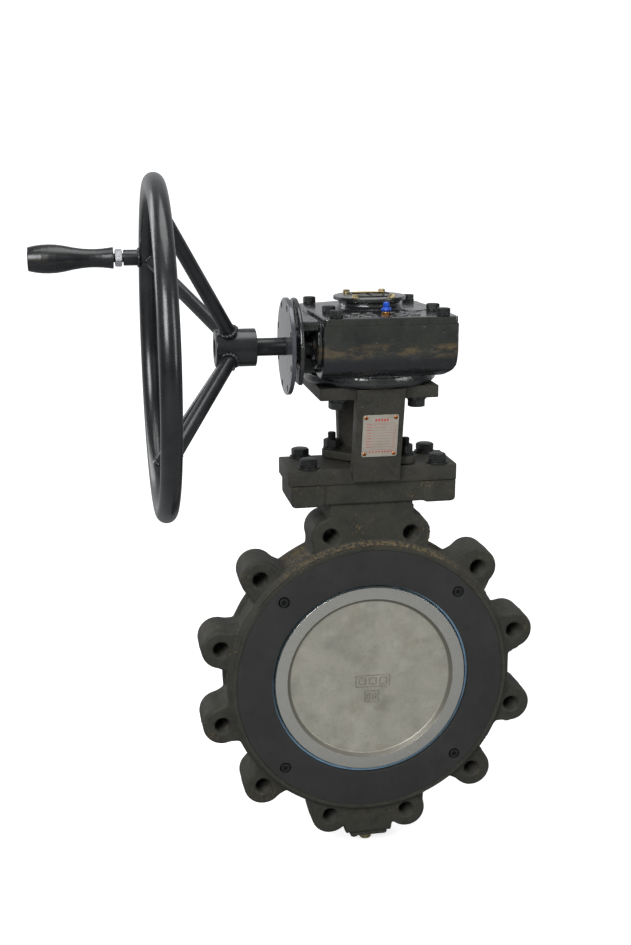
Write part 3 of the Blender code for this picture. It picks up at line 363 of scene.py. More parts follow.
def retainer_steel():
    s = Shade("mat_retainer", (46, 47, 45), rough=0.52, spec=0.42)
    s.stain((54, 55, 53), amount=0.6, size=45, detail=3, span=(0.42, 0.65))
    s.stain((37, 38, 37), amount=0.45, size=12, detail=5, span=(0.50, 0.74), shift=(2, 2, 2))
    s.stain((66, 66, 62), amount=0.22, size=5, detail=5, rough=0.7, span=(0.58, 0.72),
            stretch=(1.6, 1, 0.08), shift=(0, 0, 3))
    s.stain((78, 79, 75), amount=0.22, size=0.9, detail=2, span=(0.62, 0.76))
    lathe = s.turning(s.pipe_radius(), pitch=0.75)
    s.vary_rough(0.06, size=16, detail=3)
    s.bump(lathe, depth=0.008)
    s.dents(depth=0.02, size=0.6, detail=2)
    s.dents(depth=0.05, size=14, detail=2)
    return s.done()


def seat_polymer():
    s = Shade("mat_seat", (128, 160, 184), rough=0.34)
    s.stain((100, 134, 162), amount=0.6, size=12, detail=3, span=(0.45, 0.65))
    s.stain((168, 190, 205), amount=0.35, size=2, detail=3, span=(0.58, 0.72))
    s.dents(depth=0.02, size=1.0, detail=2)
    return s.done()


def disc_face():
    s = Shade("mat_disc", (202, 199, 184), rough=0.44, metal=0.62)
    # zones by radius in metres: bright machined band, slope inside it (darkened with painted shade),
    # blasted field
    radius = s.pipe_radius()
    band = s.product(s.ramp(radius, span=(0.0990, 0.1000)), s.ramp(radius, span=(0.1185, 0.1180)))
    slope = s.product(s.ramp(radius, span=(0.0948, 0.0958)), s.ramp(radius, span=(0.0998, 0.0990)))
    inner = s.ramp(radius, span=(0.0962, 0.0952))
    # cloudy light grey with faint warm stains and fine pits
    s.stain((184, 182, 168), amount=0.75, size=32, rough=0.6, span=(0.36, 0.68))
    s.stain((216, 214, 202), amount=0.55, size=18, span=(0.52, 0.72), shift=(3, 0, 0))
    s.stain((160, 142, 112), amount=0.28, size=26, detail=3, span=(0.58, 0.74), shift=(0, 8, 1))
    s.tint((126, 122, 110), s.patches(size=2.6, rough=0.65, span=(0.56, 0.74)), inner, amount=0.45)
    s.tint((140, 138, 128), s.patches(size=52, detail=3, span=(0.50, 0.72), shift=(0, 0, 9)),
           inner, amount=0.55)
    s.stain((222, 220, 208), amount=0.5, size=9, detail=6, rough=0.75, span=(0.66, 0.72),
            stretch=(0.4, 1, 2.0), rot=(0, 0.5, 0))
    # painted shade on the recessed slope inside the band
    s.tint((104, 102, 95), slope, amount=0.80)
    s.tint((232, 231, 222), band, amount=0.80)
    streak = s.patches(size=7, detail=5, rough=0.65, span=(0.56, 0.70), shift=(5, 0, 2))
    s.tint((196, 178, 142), streak, band, amount=0.22)
    s.mix_rough(0.25, band)
    s.vary_rough(0.08, size=10)
    s.mix_metal(0.95, band)
    lathe = s.turning(radius, pitch=0.62)
    s.bump(s.product(lathe, s.ramp(band, span=(0, 1), out=(0.05, 1.0))), depth=0.003)
    pits = s.noise(size=1.1, detail=3, rough=0.6)
    s.bump(s.product(pits, s.ramp(inner, span=(0, 1), out=(0.15, 1.0))), depth=0.09)
    s.dents(depth=0.10, size=11, detail=2)
    return s.done()


def disc_mark():
    s = Shade("mat_disc_mark", (172, 169, 156), metal=0.6)
    s.stain((112, 108, 96), amount=0.75, size=1.8, span=(0.46, 0.64))
    s.stain((170, 167, 157), amount=0.6, size=1.3, detail=3, span=(0.56, 0.70), shift=(2, 2, 0))
    s.dents(depth=0.08, size=0.9, detail=3)
    return s.done()


def bright_steel(name, tone, rough):
    s = Shade(name, tone, rough=rough, metal=1.0)
    s.stain([int(v * 0.78) for v in tone], amount=0.6, size=9, span=(0.45, 0.70))
    s.stain((122, 104, 78), amount=0.30, size=14, span=(0.62, 0.76), shift=(2, 0, 7))
    s.vary_rough(0.10, size=3, detail=3)
    s.dents(depth=0.012, size=1.2, detail=3, stretch=(1, 1, 0.15))
    return s.done()


def shaft_black():
    s = Shade("mat_shaft", (40, 41, 42), rough=0.30, metal=0.35, spec=0.6)
    s.stain((66, 66, 66), amount=0.5, size=7, span=(0.50, 0.70))
    s.stain((84, 74, 58), amount=0.35, size=4, detail=3, span=(0.62, 0.74), shift=(1, 2, 3))
    s.vary_rough(0.10, size=5, detail=3)
    s.dents(depth=0.02, size=1.0, detail=3, stretch=(0.3, 1, 1))
    return s.done()


def black_oxide():
    s = Shade("mat_black_oxide", (34, 35, 35), rough=0.42, metal=0.25)
    s.stain((50, 51, 51), amount=0.5, size=6, span=(0.45, 0.68))
    s.stain((58, 50, 40), amount=0.35, size=4, span=(0.60, 0.74), shift=(4, 1, 0))
    s.tint((78, 79, 80), s.rim(radius=0.5), s.patches(size=3, detail=3, span=(0.42, 0.62)),
           amount=0.45)
    s.vary_rough(0.10, size=3, detail=3)
    s.dents(depth=0.025, size=0.8, detail=3)
    return s.done()


def enamel():
    s = Shade("mat_enamel", (27, 29, 32), rough=0.26, spec=0.55, coat=0.65, coat_rough=0.13)
    s.stain((37, 39, 40), amount=0.6, size=20, span=(0.42, 0.68))
    # pale painted light on faces towards the front, in patches, and painted shade on the undersides
    front_painted_light = s.product(s.facing("Y", span=(-0.80, -0.97)),
                     s.patches(size=24, rough=0.6, span=(0.30, 0.62), out=(0.45, 1.0),
                               shift=(1, 3, 5)))
    # painted light: pale tint on faces towards the front
    s.tint((58, 60, 54), front_painted_light, amount=0.80)
    # painted shade: dark bluish tint on faces pointing down
    s.tint((18, 21, 27), s.facing("Z", span=(-0.06, -0.40)), amount=0.85)
    # brown handling smudges in a level belt
    belt = s.product(s.ramp(s.height(), span=(DATUM.z + 0.386, DATUM.z + 0.392)),
                     s.ramp(s.height(), span=(DATUM.z + 0.406, DATUM.z + 0.397)))
    smear = s.patches(size=13, detail=6, rough=0.72, span=(0.47, 0.62),
                      stretch=(0.45, 1, 1.3), shift=(0.6, 0, 0.2))
    s.tint((118, 98, 62), smear, belt, amount=0.62)
    s.mix_rough(0.55, s.product(smear, belt, 0.7))
    # dust, then pale scratches
    s.stain((74, 76, 70), amount=0.34, size=16, detail=6, rough=0.7, span=(0.54, 0.74),
            shift=(8, 1, 3))
    s.vary_rough(0.07, size=7)
    s.stain((126, 128, 124), amount=0.40, size=8, detail=7, rough=0.75, span=(0.665, 0.70),
            stretch=(0.25, 1, 2.4), rot=(0, 0.6, 0))
    s.dents(depth=0.75, size=15.0, detail=3)
    s.dents(depth=0.20, size=5.0, detail=3)
    drops = s.ramp(s.cells(size=9.0, shift=(2, 0, 1)), span=(0.16, 0.02))
    s.bump(s.product(drops, s.patches(size=30, detail=1, span=(0.55, 0.62))), depth=0.35)
    return s.done()


def flange_paint():
    s = Shade("mat_flange_paint", (84, 86, 92), rough=0.26, metal=0.25, spec=0.6, coat=0.5,
              coat_rough=0.12)
    s.stain((64, 66, 72), amount=0.6, size=18, detail=3, span=(0.42, 0.66))
    # painted shade: dark rims along the edges and around the bolt holes
    s.tint((28, 29, 31), s.rim(radius=0.7), amount=0.7)
    s.stain((118, 120, 124), amount=0.30, size=9, detail=5, rough=0.7, span=(0.60, 0.72),
            shift=(3, 3, 0))
    s.vary_rough(0.06, size=8, detail=3)
    s.dents(depth=0.16, size=10, detail=2)
    return s.done()


def wheel_paint():
    s = Shade("mat_wheel_paint", (24, 26, 28), rough=0.29, spec=0.55, coat=0.32, coat_rough=0.16)
    s.stain((42, 44, 45), amount=0.6, size=30, detail=3, span=(0.42, 0.66))
    s.stain((66, 66, 62), amount=0.30, size=5, detail=5, rough=0.7, span=(0.63, 0.74),
            shift=(2, 7, 1))
    s.vary_rough(0.07, size=14, detail=3)
    s.dents(depth=0.10, size=7, detail=3)
    s.dents(depth=0.012, size=1.0, detail=2)
    return s.done()


def grip_gloss():
    """Streaks run along the grip, which lies on X."""
    s = Shade("mat_grip", (23, 24, 26), rough=0.32, coat=0.30, coat_rough=0.20)
    s.stain((46, 47, 49), amount=0.6, size=3.2, detail=5, rough=0.65, span=(0.46, 0.66),
            stretch=(0.10, 1, 1))
    s.stain((84, 74, 56), amount=0.40, size=6, rough=0.7, span=(0.58, 0.72),
            stretch=(0.22, 1, 1), shift=(1, 4, 2))
    s.vary_rough(0.10, size=6, detail=3, stretch=(0.2, 1, 1))
    s.dents(depth=0.06, size=2.6, detail=3, stretch=(0.10, 1, 1))
    return s.done()


def zinc(name, tone, stain):
    s = Shade(name, tone, rough=0.28, metal=0.85)
    s.stain(stain, amount=0.5, size=4, span=(0.50, 0.72))
    s.vary_rough(0.10, size=2, detail=3)
    s.dents(depth=0.02, size=0.8, detail=3)
    return s.done()


def blue_plastic():
    s = Shade("mat_blue_cap", (20, 78, 190), rough=0.30)
    s.stain((16, 52, 150), amount=0.6, size=4, detail=3, span=(0.45, 0.65))
    s.tint((90, 140, 225), s.rim(radius=0.4), amount=0.4)
    s.dents(depth=0.03, size=1.0, detail=3)
    return s.done()


def bronze():
    s = Shade("mat_bronze", (150, 112, 66), rough=0.34, metal=1.0)
    s.stain((112, 82, 48), amount=0.7, size=7, span=(0.45, 0.68))
    s.vary_rough(0.10, size=3, detail=3)
    s.dents(depth=0.03, size=0.9, detail=3)
    return s.done()


def copper():
    s = Shade("mat_copper", (186, 116, 66), rough=0.32, metal=1.0)
    s.stain((128, 76, 42), amount=0.7, size=1.6, detail=3, span=(0.45, 0.65))
    s.dents(depth=0.02, size=0.6, detail=2)
    return s.done()


def graphite():
    s = Shade("mat_graphite", (46, 46, 48), rough=0.58, metal=0.1)
    s.stain((70, 70, 72), amount=0.5, size=3, span=(0.50, 0.70))
    s.bump(s.cells(size=1.6), depth=0.08)
    return s.done()


def plate_metal():
    s = Shade("mat_nameplate", (198, 192, 178), rough=0.36, metal=0.45)
    s.stain((180, 172, 155), amount=0.6, size=12, span=(0.45, 0.68))
    s.stain((150, 138, 116), amount=0.35, size=3, rough=0.7, span=(0.62, 0.76), shift=(2, 1, 0))
    s.vary_rough(0.08, size=2, detail=3, stretch=(0.1, 1, 1))
    s.dents(depth=0.006, size=0.5, detail=2, stretch=(0.08, 1, 1))
    return s.done()


def print_ink(name, colour):
    s = Shade(name, colour)
    s.stain((222, 205, 190), amount=0.55, size=1.2, rough=0.7, span=(0.50, 0.66))
    s.dents(depth=0.01, size=0.5, detail=2)
    return s.done()


MATERIALS = {
    "body": cast_body(),
    "yoke": yoke_steel(),
    "retainer": retainer_steel(),
    "seat": seat_polymer(),
    "disc": disc_face(),
    "steel": bright_steel("mat_steel", tone=(150, 150, 148), rough=0.30),
    "stem": bright_steel("mat_stem", tone=(96, 96, 92), rough=0.36),
    "shaft": shaft_black(),
    "black_oxide": black_oxide(),
    "enamel": enamel(),
    "flange": flange_paint(),
    "wheel": wheel_paint(),
    "grip": grip_gloss(),
    "zinc": zinc("mat_zinc", tone=(222, 224, 228), stain=(172, 174, 180)),
    "yellow_zinc": zinc("mat_yellow_zinc", tone=(206, 190, 148), stain=(176, 152, 98)),
    "blue": blue_plastic(),
    "bronze": bronze(),
    "copper": copper(),
    "graphite": graphite(),
    "nameplate": plate_metal(),
    "ink_red": print_ink("mat_ink_red", (196, 62, 62)),
    "ink_pale": print_ink("mat_ink_pale", (186, 116, 110)),
    "disc_mark": disc_mark(),
    "yellow_mark": print_ink("mat_yellow_mark", (198, 168, 84)),
}

# ---------------------------------------------------------------- geometry kit (mm)
AXES = {
    "Z": Matrix.Identity(4),
    "Y": Matrix.Rotation(math.pi / 2, 4, "X"),       # local +z -> -Y, local y -> +Z
    "X": Matrix.Rotation(math.pi / 2, 4, "Y"),       # local +z -> +X, local x -> -Z
    # local x, y, z -> +Y, +Z, +X
    "YZ": Matrix.Rotation(math.pi / 2, 4, "Z") @ Matrix.Rotation(math.pi / 2, 4, "X"),
}


def place(axis="Z", at=(0, 0, 0), spin=0.0):
    return Matrix.Translation(at) @ AXES[axis] @ Matrix.Rotation(spin, 4, "Z")


def moved(ob, matrix):
    ob.data.transform(matrix)
    return ob


def to_object(bm):
    mesh = bpy.data.meshes.new("part")
    bm.to_mesh(mesh)
    bm.free()
    ob = bpy.data.objects.new("part", mesh)
    TEMP.objects.link(ob)
    return ob


def settle(bm, matrix=None):
    """Working object from a bmesh, with its normals made consistent."""
    bmesh.ops.recalc_face_normals(bm, faces=bm.faces)
    if matrix is not None:
        bm.transform(matrix)
    return to_object(bm)


def skin(bm, rings, capped=True):
    """Quads between neighbouring rings of equal length, and a face over each end."""
    for ring, following in zip(rings, rings[1:]):
        for i in range(len(ring)):
            j = (i + 1) % len(ring)
            bm.faces.new((ring[i], ring[j], following[j], following[i]))
    if capped:
        bm.faces.new(rings[0][::-1])
        bm.faces.new(rings[-1])


def rounded(points, steps):
    """Rounds each corner that carries a third value, its radius."""
    out = []
    for i, point in enumerate(points):
        if len(point) < 3:
            out.append(point)
            continue
        before, corner, after = (Vector(p[:2]) for p in (points[i - 1], point,
                                                         points[(i + 1) % len(points)]))
        u, v = before - corner, after - corner
        reach = min(point[2] / math.tan(u.angle(v) / 2), u.length * 0.48, v.length * 0.48)
        start, end = corner + u.normalized() * reach, corner + v.normalized() * reach
        for k in range(steps + 1):
            t = k / steps
            q = start * (1 - t) ** 2 + corner * 2 * t * (1 - t) + end * t ** 2
            out.append((q.x, q.y))
    return out


def revolve(profile, steps=96, axis="Z", at=(0, 0, 0), corner_steps=5):
    """Turns (radius, height, optional corner radius) points about an axis.

    A profile that starts on the axis is open; any other closes on itself as a ring.
    """
    bm = bmesh.new()
    rings = []
    for r, h in rounded(profile, corner_steps):
        if r < 1e-6:
            rings.append([bm.verts.new((0, 0, h))])
        else:
            rings.append([bm.verts.new((r * math.cos(TAU * i / steps),
                                        r * math.sin(TAU * i / steps), h)) for i in range(steps)])
    pairs = list(zip(rings, rings[1:]))
    if profile[0][0] > 0:
        pairs.append((rings[-1], rings[0]))
    for a, b in pairs:
        for i in range(steps):
            j = (i + 1) % steps
            if len(a) == 1:
                bm.faces.new((a[0], b[j], b[i]))
            elif len(b) == 1:
                bm.faces.new((a[i], a[j], b[0]))
            else:
                bm.faces.new((a[i], a[j], b[j], b[i]))
    return settle(bm, place(axis, at))


def cylinder(radius, start, end, steps, axis="Z", at=(0, 0, 0)):
    return revolve([(0, start), (radius, start), (radius, end), (0, end)], steps, axis, at)


def washer(outer, inner, top, bottom, edge, steps, at):
    return revolve([(outer, top, edge), (outer, bottom, edge), (inner, bottom), (inner, top)],
                   steps, "Z", at)


def evaluated_mesh(ob):
    bpy.context.view_layer.update()
    return bpy.data.meshes.new_from_object(
        ob.evaluated_get(bpy.context.evaluated_depsgraph_get()))


def slab(loops, z0, z1, edge=0.0, axis="Z", at=(0, 0, 0)):
    """Flat outline with holes, extruded; its rims are rounded by edge."""
    curve = bpy.data.curves.new("part", "CURVE")
    curve.dimensions = "2D"
    curve.fill_mode = "BOTH"
    curve.extrude = (z1 - z0) / 2 - edge
    if edge > 0:
        curve.bevel_depth = edge
        curve.bevel_resolution = 3
        curve.offset = -edge
    for loop in loops:
        spline = curve.splines.new("POLY")
        spline.points.add(len(loop) - 1)
        for point, (x, y) in zip(spline.points, loop):
            point.co = (x, y, 0.0, 1.0)
        spline.use_cyclic_u = True
    ob = bpy.data.objects.new("part", curve)
    TEMP.objects.link(ob)
    mesh = evaluated_mesh(ob)
    bpy.data.objects.remove(ob, do_unlink=True)
    bm = bmesh.new()
    bm.from_mesh(mesh)
    bpy.data.meshes.remove(mesh)
    bmesh.ops.remove_doubles(bm, verts=bm.verts, dist=0.0005)
    bmesh.ops.dissolve_degenerate(bm, dist=0.0002, edges=bm.edges)
    bmesh.ops.translate(bm, verts=bm.verts, vec=(0, 0, (z0 + z1) / 2))
    return settle(bm, place(axis, at))


def side_slab(loop, x0, x1, edge=0.0, at=(0, 0, 0)):
    """Slab whose outline is given as (y, z) and which is extruded along X."""
    return moved(slab([loop], x0, x1, edge), place("YZ", at))


def box_matrix(lo, hi):
    lo, hi = Vector(lo), Vector(hi)
    return Matrix.Translation((lo + hi) / 2) @ Matrix.Diagonal((*(hi - lo), 1.0))


def block(lo, hi, radius=0.0, segments=3, matrix=None):
    bm = bmesh.new()
    bmesh.ops.create_cube(bm, size=1.0, matrix=box_matrix(lo, hi))
    if radius > 0:
        bmesh.ops.bevel(bm, geom=bm.edges[:], offset=radius, segments=segments, affect="EDGES",
                        profile=0.5)
    return settle(bm, matrix)


def align_z(direction):
    return Vector((0, 0, 1)).rotation_difference(direction.normalized()).to_matrix().to_4x4()


def rod(start, end, radius, steps):
    start, end = Vector(start), Vector(end)
    run = end - start
    bm = bmesh.new()
    bmesh.ops.create_cone(bm, cap_ends=True, segments=steps, radius1=radius, radius2=radius,
                          depth=run.length,
                          matrix=Matrix.Translation((start + end) / 2) @ align_z(run))
    return settle(bm)


def torus(major, minor, around, section, matrix, rippled=False):
    bm = bmesh.new()
    rings = []
    for i in range(around):
        t = TAU * i / around
        tube = minor
        if rippled:
            tube = minor * (1.0 + 0.16 * math.sin(15 * t) + 0.08 * math.sin(7 * t + 1))
        ring = []
        for j in range(section):
            r = major + tube * math.cos(TAU * j / section)
            ring.append(bm.verts.new((r * math.cos(t), r * math.sin(t),
                                      tube * math.sin(TAU * j / section))))
        rings.append(ring)
    for i in range(around):
        p, q = rings[i], rings[(i + 1) % around]
        for j in range(section):
            k = (j + 1) % section
            bm.faces.new((p[j], q[j], q[k], p[k]))
    return settle(bm, matrix)


def weld_bead(centre, normal, radius, width):
    """Ring of slightly rippled weld metal around a joint."""
    return torus(radius, width, 96, 14,
                 Matrix.Translation(centre) @ align_z(Vector(normal)), rippled=True)


def arc(cx, cy, r, start, sweep, steps):
    """Points along an arc; start and sweep in degrees."""
    angles = [math.radians(start + sweep * i / steps) for i in range(steps + 1)]
    return [(cx + r * math.cos(a), cy + r * math.sin(a)) for a in angles]


def circle(r, steps, cx=0.0, cy=0.0):
    return [(cx + r * math.cos(TAU * i / steps), cy + r * math.sin(TAU * i / steps))
            for i in range(steps)]


def rounded_rect(x0, y0, x1, y1, r):
    return (arc(x1 - r, y1 - r, r, 0, 90, 8) + arc(x0 + r, y1 - r, r, 90, 90, 8)
            + arc(x0 + r, y0 + r, r, 180, 90, 8) + arc(x1 - r, y0 + r, r, 270, 90, 8))


def rect_frame(x0, y0, x1, y1, width, outer_r, inner_r):
    """Outline and hole of a rectangular frame."""
    return [rounded_rect(x0, y0, x1, y1, outer_r),
            rounded_rect(x0 + width, y0 + width, x1 - width, y1 - width, inner_r)]


def mirrored(profile):
    """The profile's points in reverse order, with their heights negated."""
    return [(r, -h, *corner) for r, h, *corner in reversed(profile)]


def apply_modifier(ob, kind, **settings):
    modifier = ob.modifiers.new("step", kind)
    for key, value in settings.items():
        setattr(modifier, key, value)
    mesh = evaluated_mesh(ob)
    old = ob.data
    ob.modifiers.clear()
    ob.data = mesh
    bpy.data.meshes.remove(old)


def combine(ob, others, operation, solver):
    for other in others:
        before = ob.data.copy()
        settings = {"operation": operation, "object": other}
        apply_modifier(ob, "BOOLEAN", **settings, solver=solver)
        faces = len(ob.data.polygons)
        unchanged = operation != "UNION" and faces == len(before.polygons)
        # the manifold solver empties or skips shapes it can't take; those are done again
        if solver == "MANIFOLD" and (faces < 4 or unchanged):
            ob.data = before
            apply_modifier(ob, "BOOLEAN", **settings, solver="EXACT")
        bpy.data.objects.remove(other, do_unlink=True)
    return ob


def fuse(ob, *others, solver="EXACT"):
    return combine(ob, others, "UNION", solver)


def cut(ob, *others, solver="EXACT"):
    return combine(ob, others, "DIFFERENCE", solver)


def trim(ob, mask):
    return combine(ob, [mask], "INTERSECT", "EXACT")


def merge(obs):
    """Several closed shapes gathered in one mesh."""
    bm = bmesh.new()
    for ob in obs:
        bm.from_mesh(ob.data)
        bpy.data.objects.remove(ob, do_unlink=True)
    return to_object(bm)


def cast(parts, voxel, iterations, wobble, size):
    """Fuses the shapes, rounds every edge and gives the surface a casting's unevenness.

    wobble is the height of the unevenness and size the width of its larger features.
    """
    ob = merge(parts)
    apply_modifier(ob, "REMESH", mode="VOXEL", voxel_size=voxel, adaptivity=0.0)
    apply_modifier(ob, "SMOOTH", factor=0.5, iterations=iterations)
    mesh = ob.data
    points = np.empty(len(mesh.vertices) * 3, np.float32)
    normals = np.empty(len(mesh.vertices) * 3, np.float32)
    mesh.vertices.foreach_get("co", points)
    mesh.vertex_normals.foreach_get("vector", normals)
    points, normals = points.reshape(-1, 3), normals.reshape(-1, 3)
    lift = np.array([noise.noise(Vector(p) / size) + 0.5 * noise.noise(Vector(p) / (size * 0.37))
                     for p in points], np.float32)
    points = points + normals * (lift * wobble)[:, None]
    mesh.vertices.foreach_set("co", points.ravel())
    mesh.update()
    return ob


def spring_washer(inner, outer, z0, thick, at):
    """Split lock washer: one turn of square wire whose ends stand a little apart."""
    steps, gap, first_angle, corner = 64, math.radians(9), 0.7, 0.15
    low, high = 0.08, thick - 0.08
    section = ((inner, low), (inner + corner, 0), (outer - corner, 0), (outer, low),
               (outer, high), (outer - corner, thick), (inner + corner, thick), (inner, high))
    bm = bmesh.new()
    rings = []
    for i in range(steps + 1):
        a = gap / 2 + (TAU - gap) * i / steps + first_angle
        lift = 0.12 * (i / steps - 0.5)
        rings.append([bm.verts.new((r * math.cos(a), r * math.sin(a), z0 + h + lift))
                      for r, h in section])
    skin(bm, rings)
    return settle(bm, Matrix.Translation(at))


def hexagon(flats, z0, z1, top=True, bottom=False, spin=0.0, bore=0.0):
    """Hexagonal prism; top and bottom say which ends have 30 degree turned corners."""
    r = flats / math.sqrt(3.0)
    bm = bmesh.new()
    bmesh.ops.create_cone(bm, cap_ends=True, segments=6, radius1=r, radius2=r, depth=z1 - z0,
                          matrix=Matrix.Translation((0, 0, (z0 + z1) / 2))
                          @ Matrix.Rotation(spin, 4, "Z"))
    upright = [e for e in bm.edges if abs(e.verts[0].co.z - e.verts[1].co.z) > 0.1]
    bmesh.ops.bevel(bm, geom=upright, offset=0.35, segments=2, affect="EDGES")
    ob = settle(bm)
    flat_r, reach = flats * 0.475, 3.5
    drop = reach * math.tan(math.radians(30))
    if top:
        profile = [(0, z1), (flat_r, z1), (flat_r + reach, z1 - drop)]
    else:
        profile = [(0, z1 + 1), (r + 2, z1 + 1)]
    if bottom:
        profile += [(flat_r + reach, z0 + drop), (flat_r, z0), (0, z0)]
    else:
        profile += [((flat_r + reach) if top else r + 2, z0 - 1), (0, z0 - 1)]
    trim(ob, revolve(profile, 72))
    if bore > 0:
        mouth = bore + 1.2
        cut(ob, revolve([(0, z1 + 1), (mouth, z1 + 1), (mouth, z1 + 0.01), (bore, z1 - 1.2),
                         (bore, z0 + 1.2), (mouth, z0 - 0.01), (mouth, z0 - 1), (0, z0 - 1)], 48))
    return ob


def thread(radius, pitch, z0, z1, depth=None, steps=40, end=0.8):
    """Cylinder with a helical groove; end is the length over which each end tapers."""
    depth = depth or pitch * 0.55
    rows = int((z1 - z0) / pitch * 8)
    bm = bmesh.new()
    rings = []
    for k in range(rows + 1):
        z = z0 + (z1 - z0) * k / rows
        fade = max(min((z1 - z) / end, (z - z0) / end, 1.0), 0.0)
        ring = []
        for i in range(steps):
            a = TAU * i / steps
            phase = (z / pitch - a / TAU) % 1.0
            wave = abs(phase - 0.5) * 2.0
            r = radius - depth * min(max(1.25 * wave - 0.12, 0.0), 1.0)
            r = min(r, radius - depth * 1.2 * (1.0 - fade))
            ring.append(bm.verts.new((r * math.cos(a), r * math.sin(a), z)))
        rings.append(ring)
    skin(bm, rings)
    return settle(bm)


VALVE, DISC_BODY, WHEEL_BODY, HANDLE_BODY = ("valve", "disc_assembly", "handwheel_assembly",
                                             "handle")


def finish(ob, name, material, slot, *nodes, body=VALVE, smooth=32.0):
    """Takes a shape into the frame with its material, body and the CAD nodes it replaces; slot is
    not used.

    Edges sharper than smooth, in degrees, stay sharp.
    """
    ob.data.transform(Matrix.Translation(DATUM) @ Matrix.Scale(MM, 4))
    ob.name = name
    ob.data.name = name
    ob.data.materials.clear()
    ob.data.materials.append(MATERIALS[material])
    ob.data.shade_smooth()
    ob.data.set_sharp_from_angle(angle=math.radians(smooth))
    TEMP.objects.unlink(ob)
    LOOKS.objects.link(ob)
    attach(ob, body)
    if nodes:
        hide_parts(*nodes)


# ---------------------------------------------------------------- valve body casting
LUG_PCR, LUG_R, BARREL_R = 181.0, 22.8, 165.0
LUG_ANGLES = [math.radians(15 + 30 * k) for k in range(12)]
LUG_EDGE = math.asin(LUG_R / LUG_PCR)                 # half angle a lug takes up
LUG_TANGENT = math.sqrt(LUG_PCR ** 2 - LUG_R ** 2)
NECK_TOP, NECK_HALF, FOOT_HALF = 214.0, 49.0, 29.0
# rim section of the lugged layer: (distance from mid depth, how far the outline is drawn in)
LUG_SECTION = [(-27.5, 3.2), (-27.2, 1.9), (-26.4, 0.9), (-25.0, 0.25), (-23.5, 0.0),
               (-1.0, -0.35), (0.0, -0.75), (1.0, -0.35), (23.5, 0.0), (25.0, 0.25),
               (26.4, 0.9), (27.2, 1.9), (27.5, 3.2)]
RING_BORE_R = 160.6
BODY_BEARING_R = 22.0                                 # bore along the stem


def soft_max(a, b, k):
    h = max(k - abs(a - b), 0.0) / k
    return max(a, b) + h * h * k * 0.25


def lug_radius(t):
    """Radius of the body outline at angle t, with its lugs, neck and foot."""
    out = BARREL_R
    for angle in LUG_ANGLES:
        d = (t - angle + math.pi) % TAU - math.pi
        if abs(d) <= LUG_EDGE:
            out = max(out, LUG_PCR * math.cos(d)
                      + math.sqrt(max(LUG_R ** 2 - (LUG_PCR * math.sin(d)) ** 2, 0.0)))
        else:
            u = (abs(d) - LUG_EDGE) / math.radians(3.6)
            if u < 1.0:
                out = max(out, BARREL_R + (LUG_TANGENT - BARREL_R) * (1.0 - u) ** 2)
    c, s = math.cos(t), math.sin(t)
    if s > 0.5:
        reach = min(NECK_TOP / s, NECK_HALF / abs(c))
        if reach > out - 9.0:
            out = soft_max(out, reach, 9.0)
        out = min(out, NECK_TOP / s)
    if s < -0.5:
        reach = min(BOSS_Z / s, FOOT_HALF / abs(c))
        if reach > out - 6.0:
            out = soft_max(out, reach, 6.0)
        if abs(c) * out < FOOT_HALF:
            out = min(out, BOSS_Z / s)
    return out


def lug_plate():
    """Lugged layer with a parting line at mid depth, a slight draft and rounded rims."""
    steps = 900
    outline, outward = [], []
    for i in range(steps):
        t = TAU * i / steps
        r = lug_radius(t)
        outline.append(Vector((r * math.cos(t), r * math.sin(t))))
    for i in range(steps):
        along = (outline[(i + 2) % steps] - outline[i - 2]).normalized()
        outward.append(Vector((along.y, -along.x)))
    bm = bmesh.new()
    rings = []
    for h, inset in LUG_SECTION:
        ring = []
        for point, normal in zip(outline, outward):
            flat = abs(point.y + 201.0) < 0.5 or point.y > 205.0
            p = point - normal * (max(inset, 0.0) if flat else inset)
            ring.append(bm.verts.new((p.x, p.y, -h)))
        rings.append(ring)
    skin(bm, rings, capped=False)
    bm.faces.new(rings[0])
    bm.faces.new(rings[-1][::-1])
    bmesh.ops.triangulate(bm, faces=[f for f in bm.faces if len(f.verts) > 4])
    return settle(bm, place("Y"))


def body_casting():
    # fillet from the lug faces up to the raised gasket faces
    half = [(160, FACE - 3.5), (164.6, FACE - 3.8, 1.0), (165.6, 30.5, 1.0), (169.0, 27.0),
            (169.0, 20.0), (150.0, 18.0)]
    barrel = half + mirrored(half) + [(150, -FACE + 3.5), (150, FACE - 3.5)]
    parts = [lug_plate(), revolve(barrel, 256, "Y")]
    # mounting flange: plate with a taller pad at each end, and a web down to the neck
    left, right = STEM_X - 95.0, STEM_X + 95.0
    parts.append(block((left + 2, -32.6, 214.2), (right - 2, 32.6, TOP_Z + 4), 1.6, 4))
    for x0, x1 in ((left, STEM_X - 57.0), (STEM_X + 57.0, right)):
        parts.append(slab([rounded_rect(x0, 213.0, x1, TOP_Z + 14, 5.0)],
                          -PLATE_HALF, PLATE_HALF, 1.3, "Y"))
    parts.append(block(at_stem(-45.0, -27.2, 196.0), at_stem(45.0, 27.2, 220.0), 3.0, 3))
    return cast(parts, voxel=1.3, iterations=3, wobble=0.16, size=22.0)


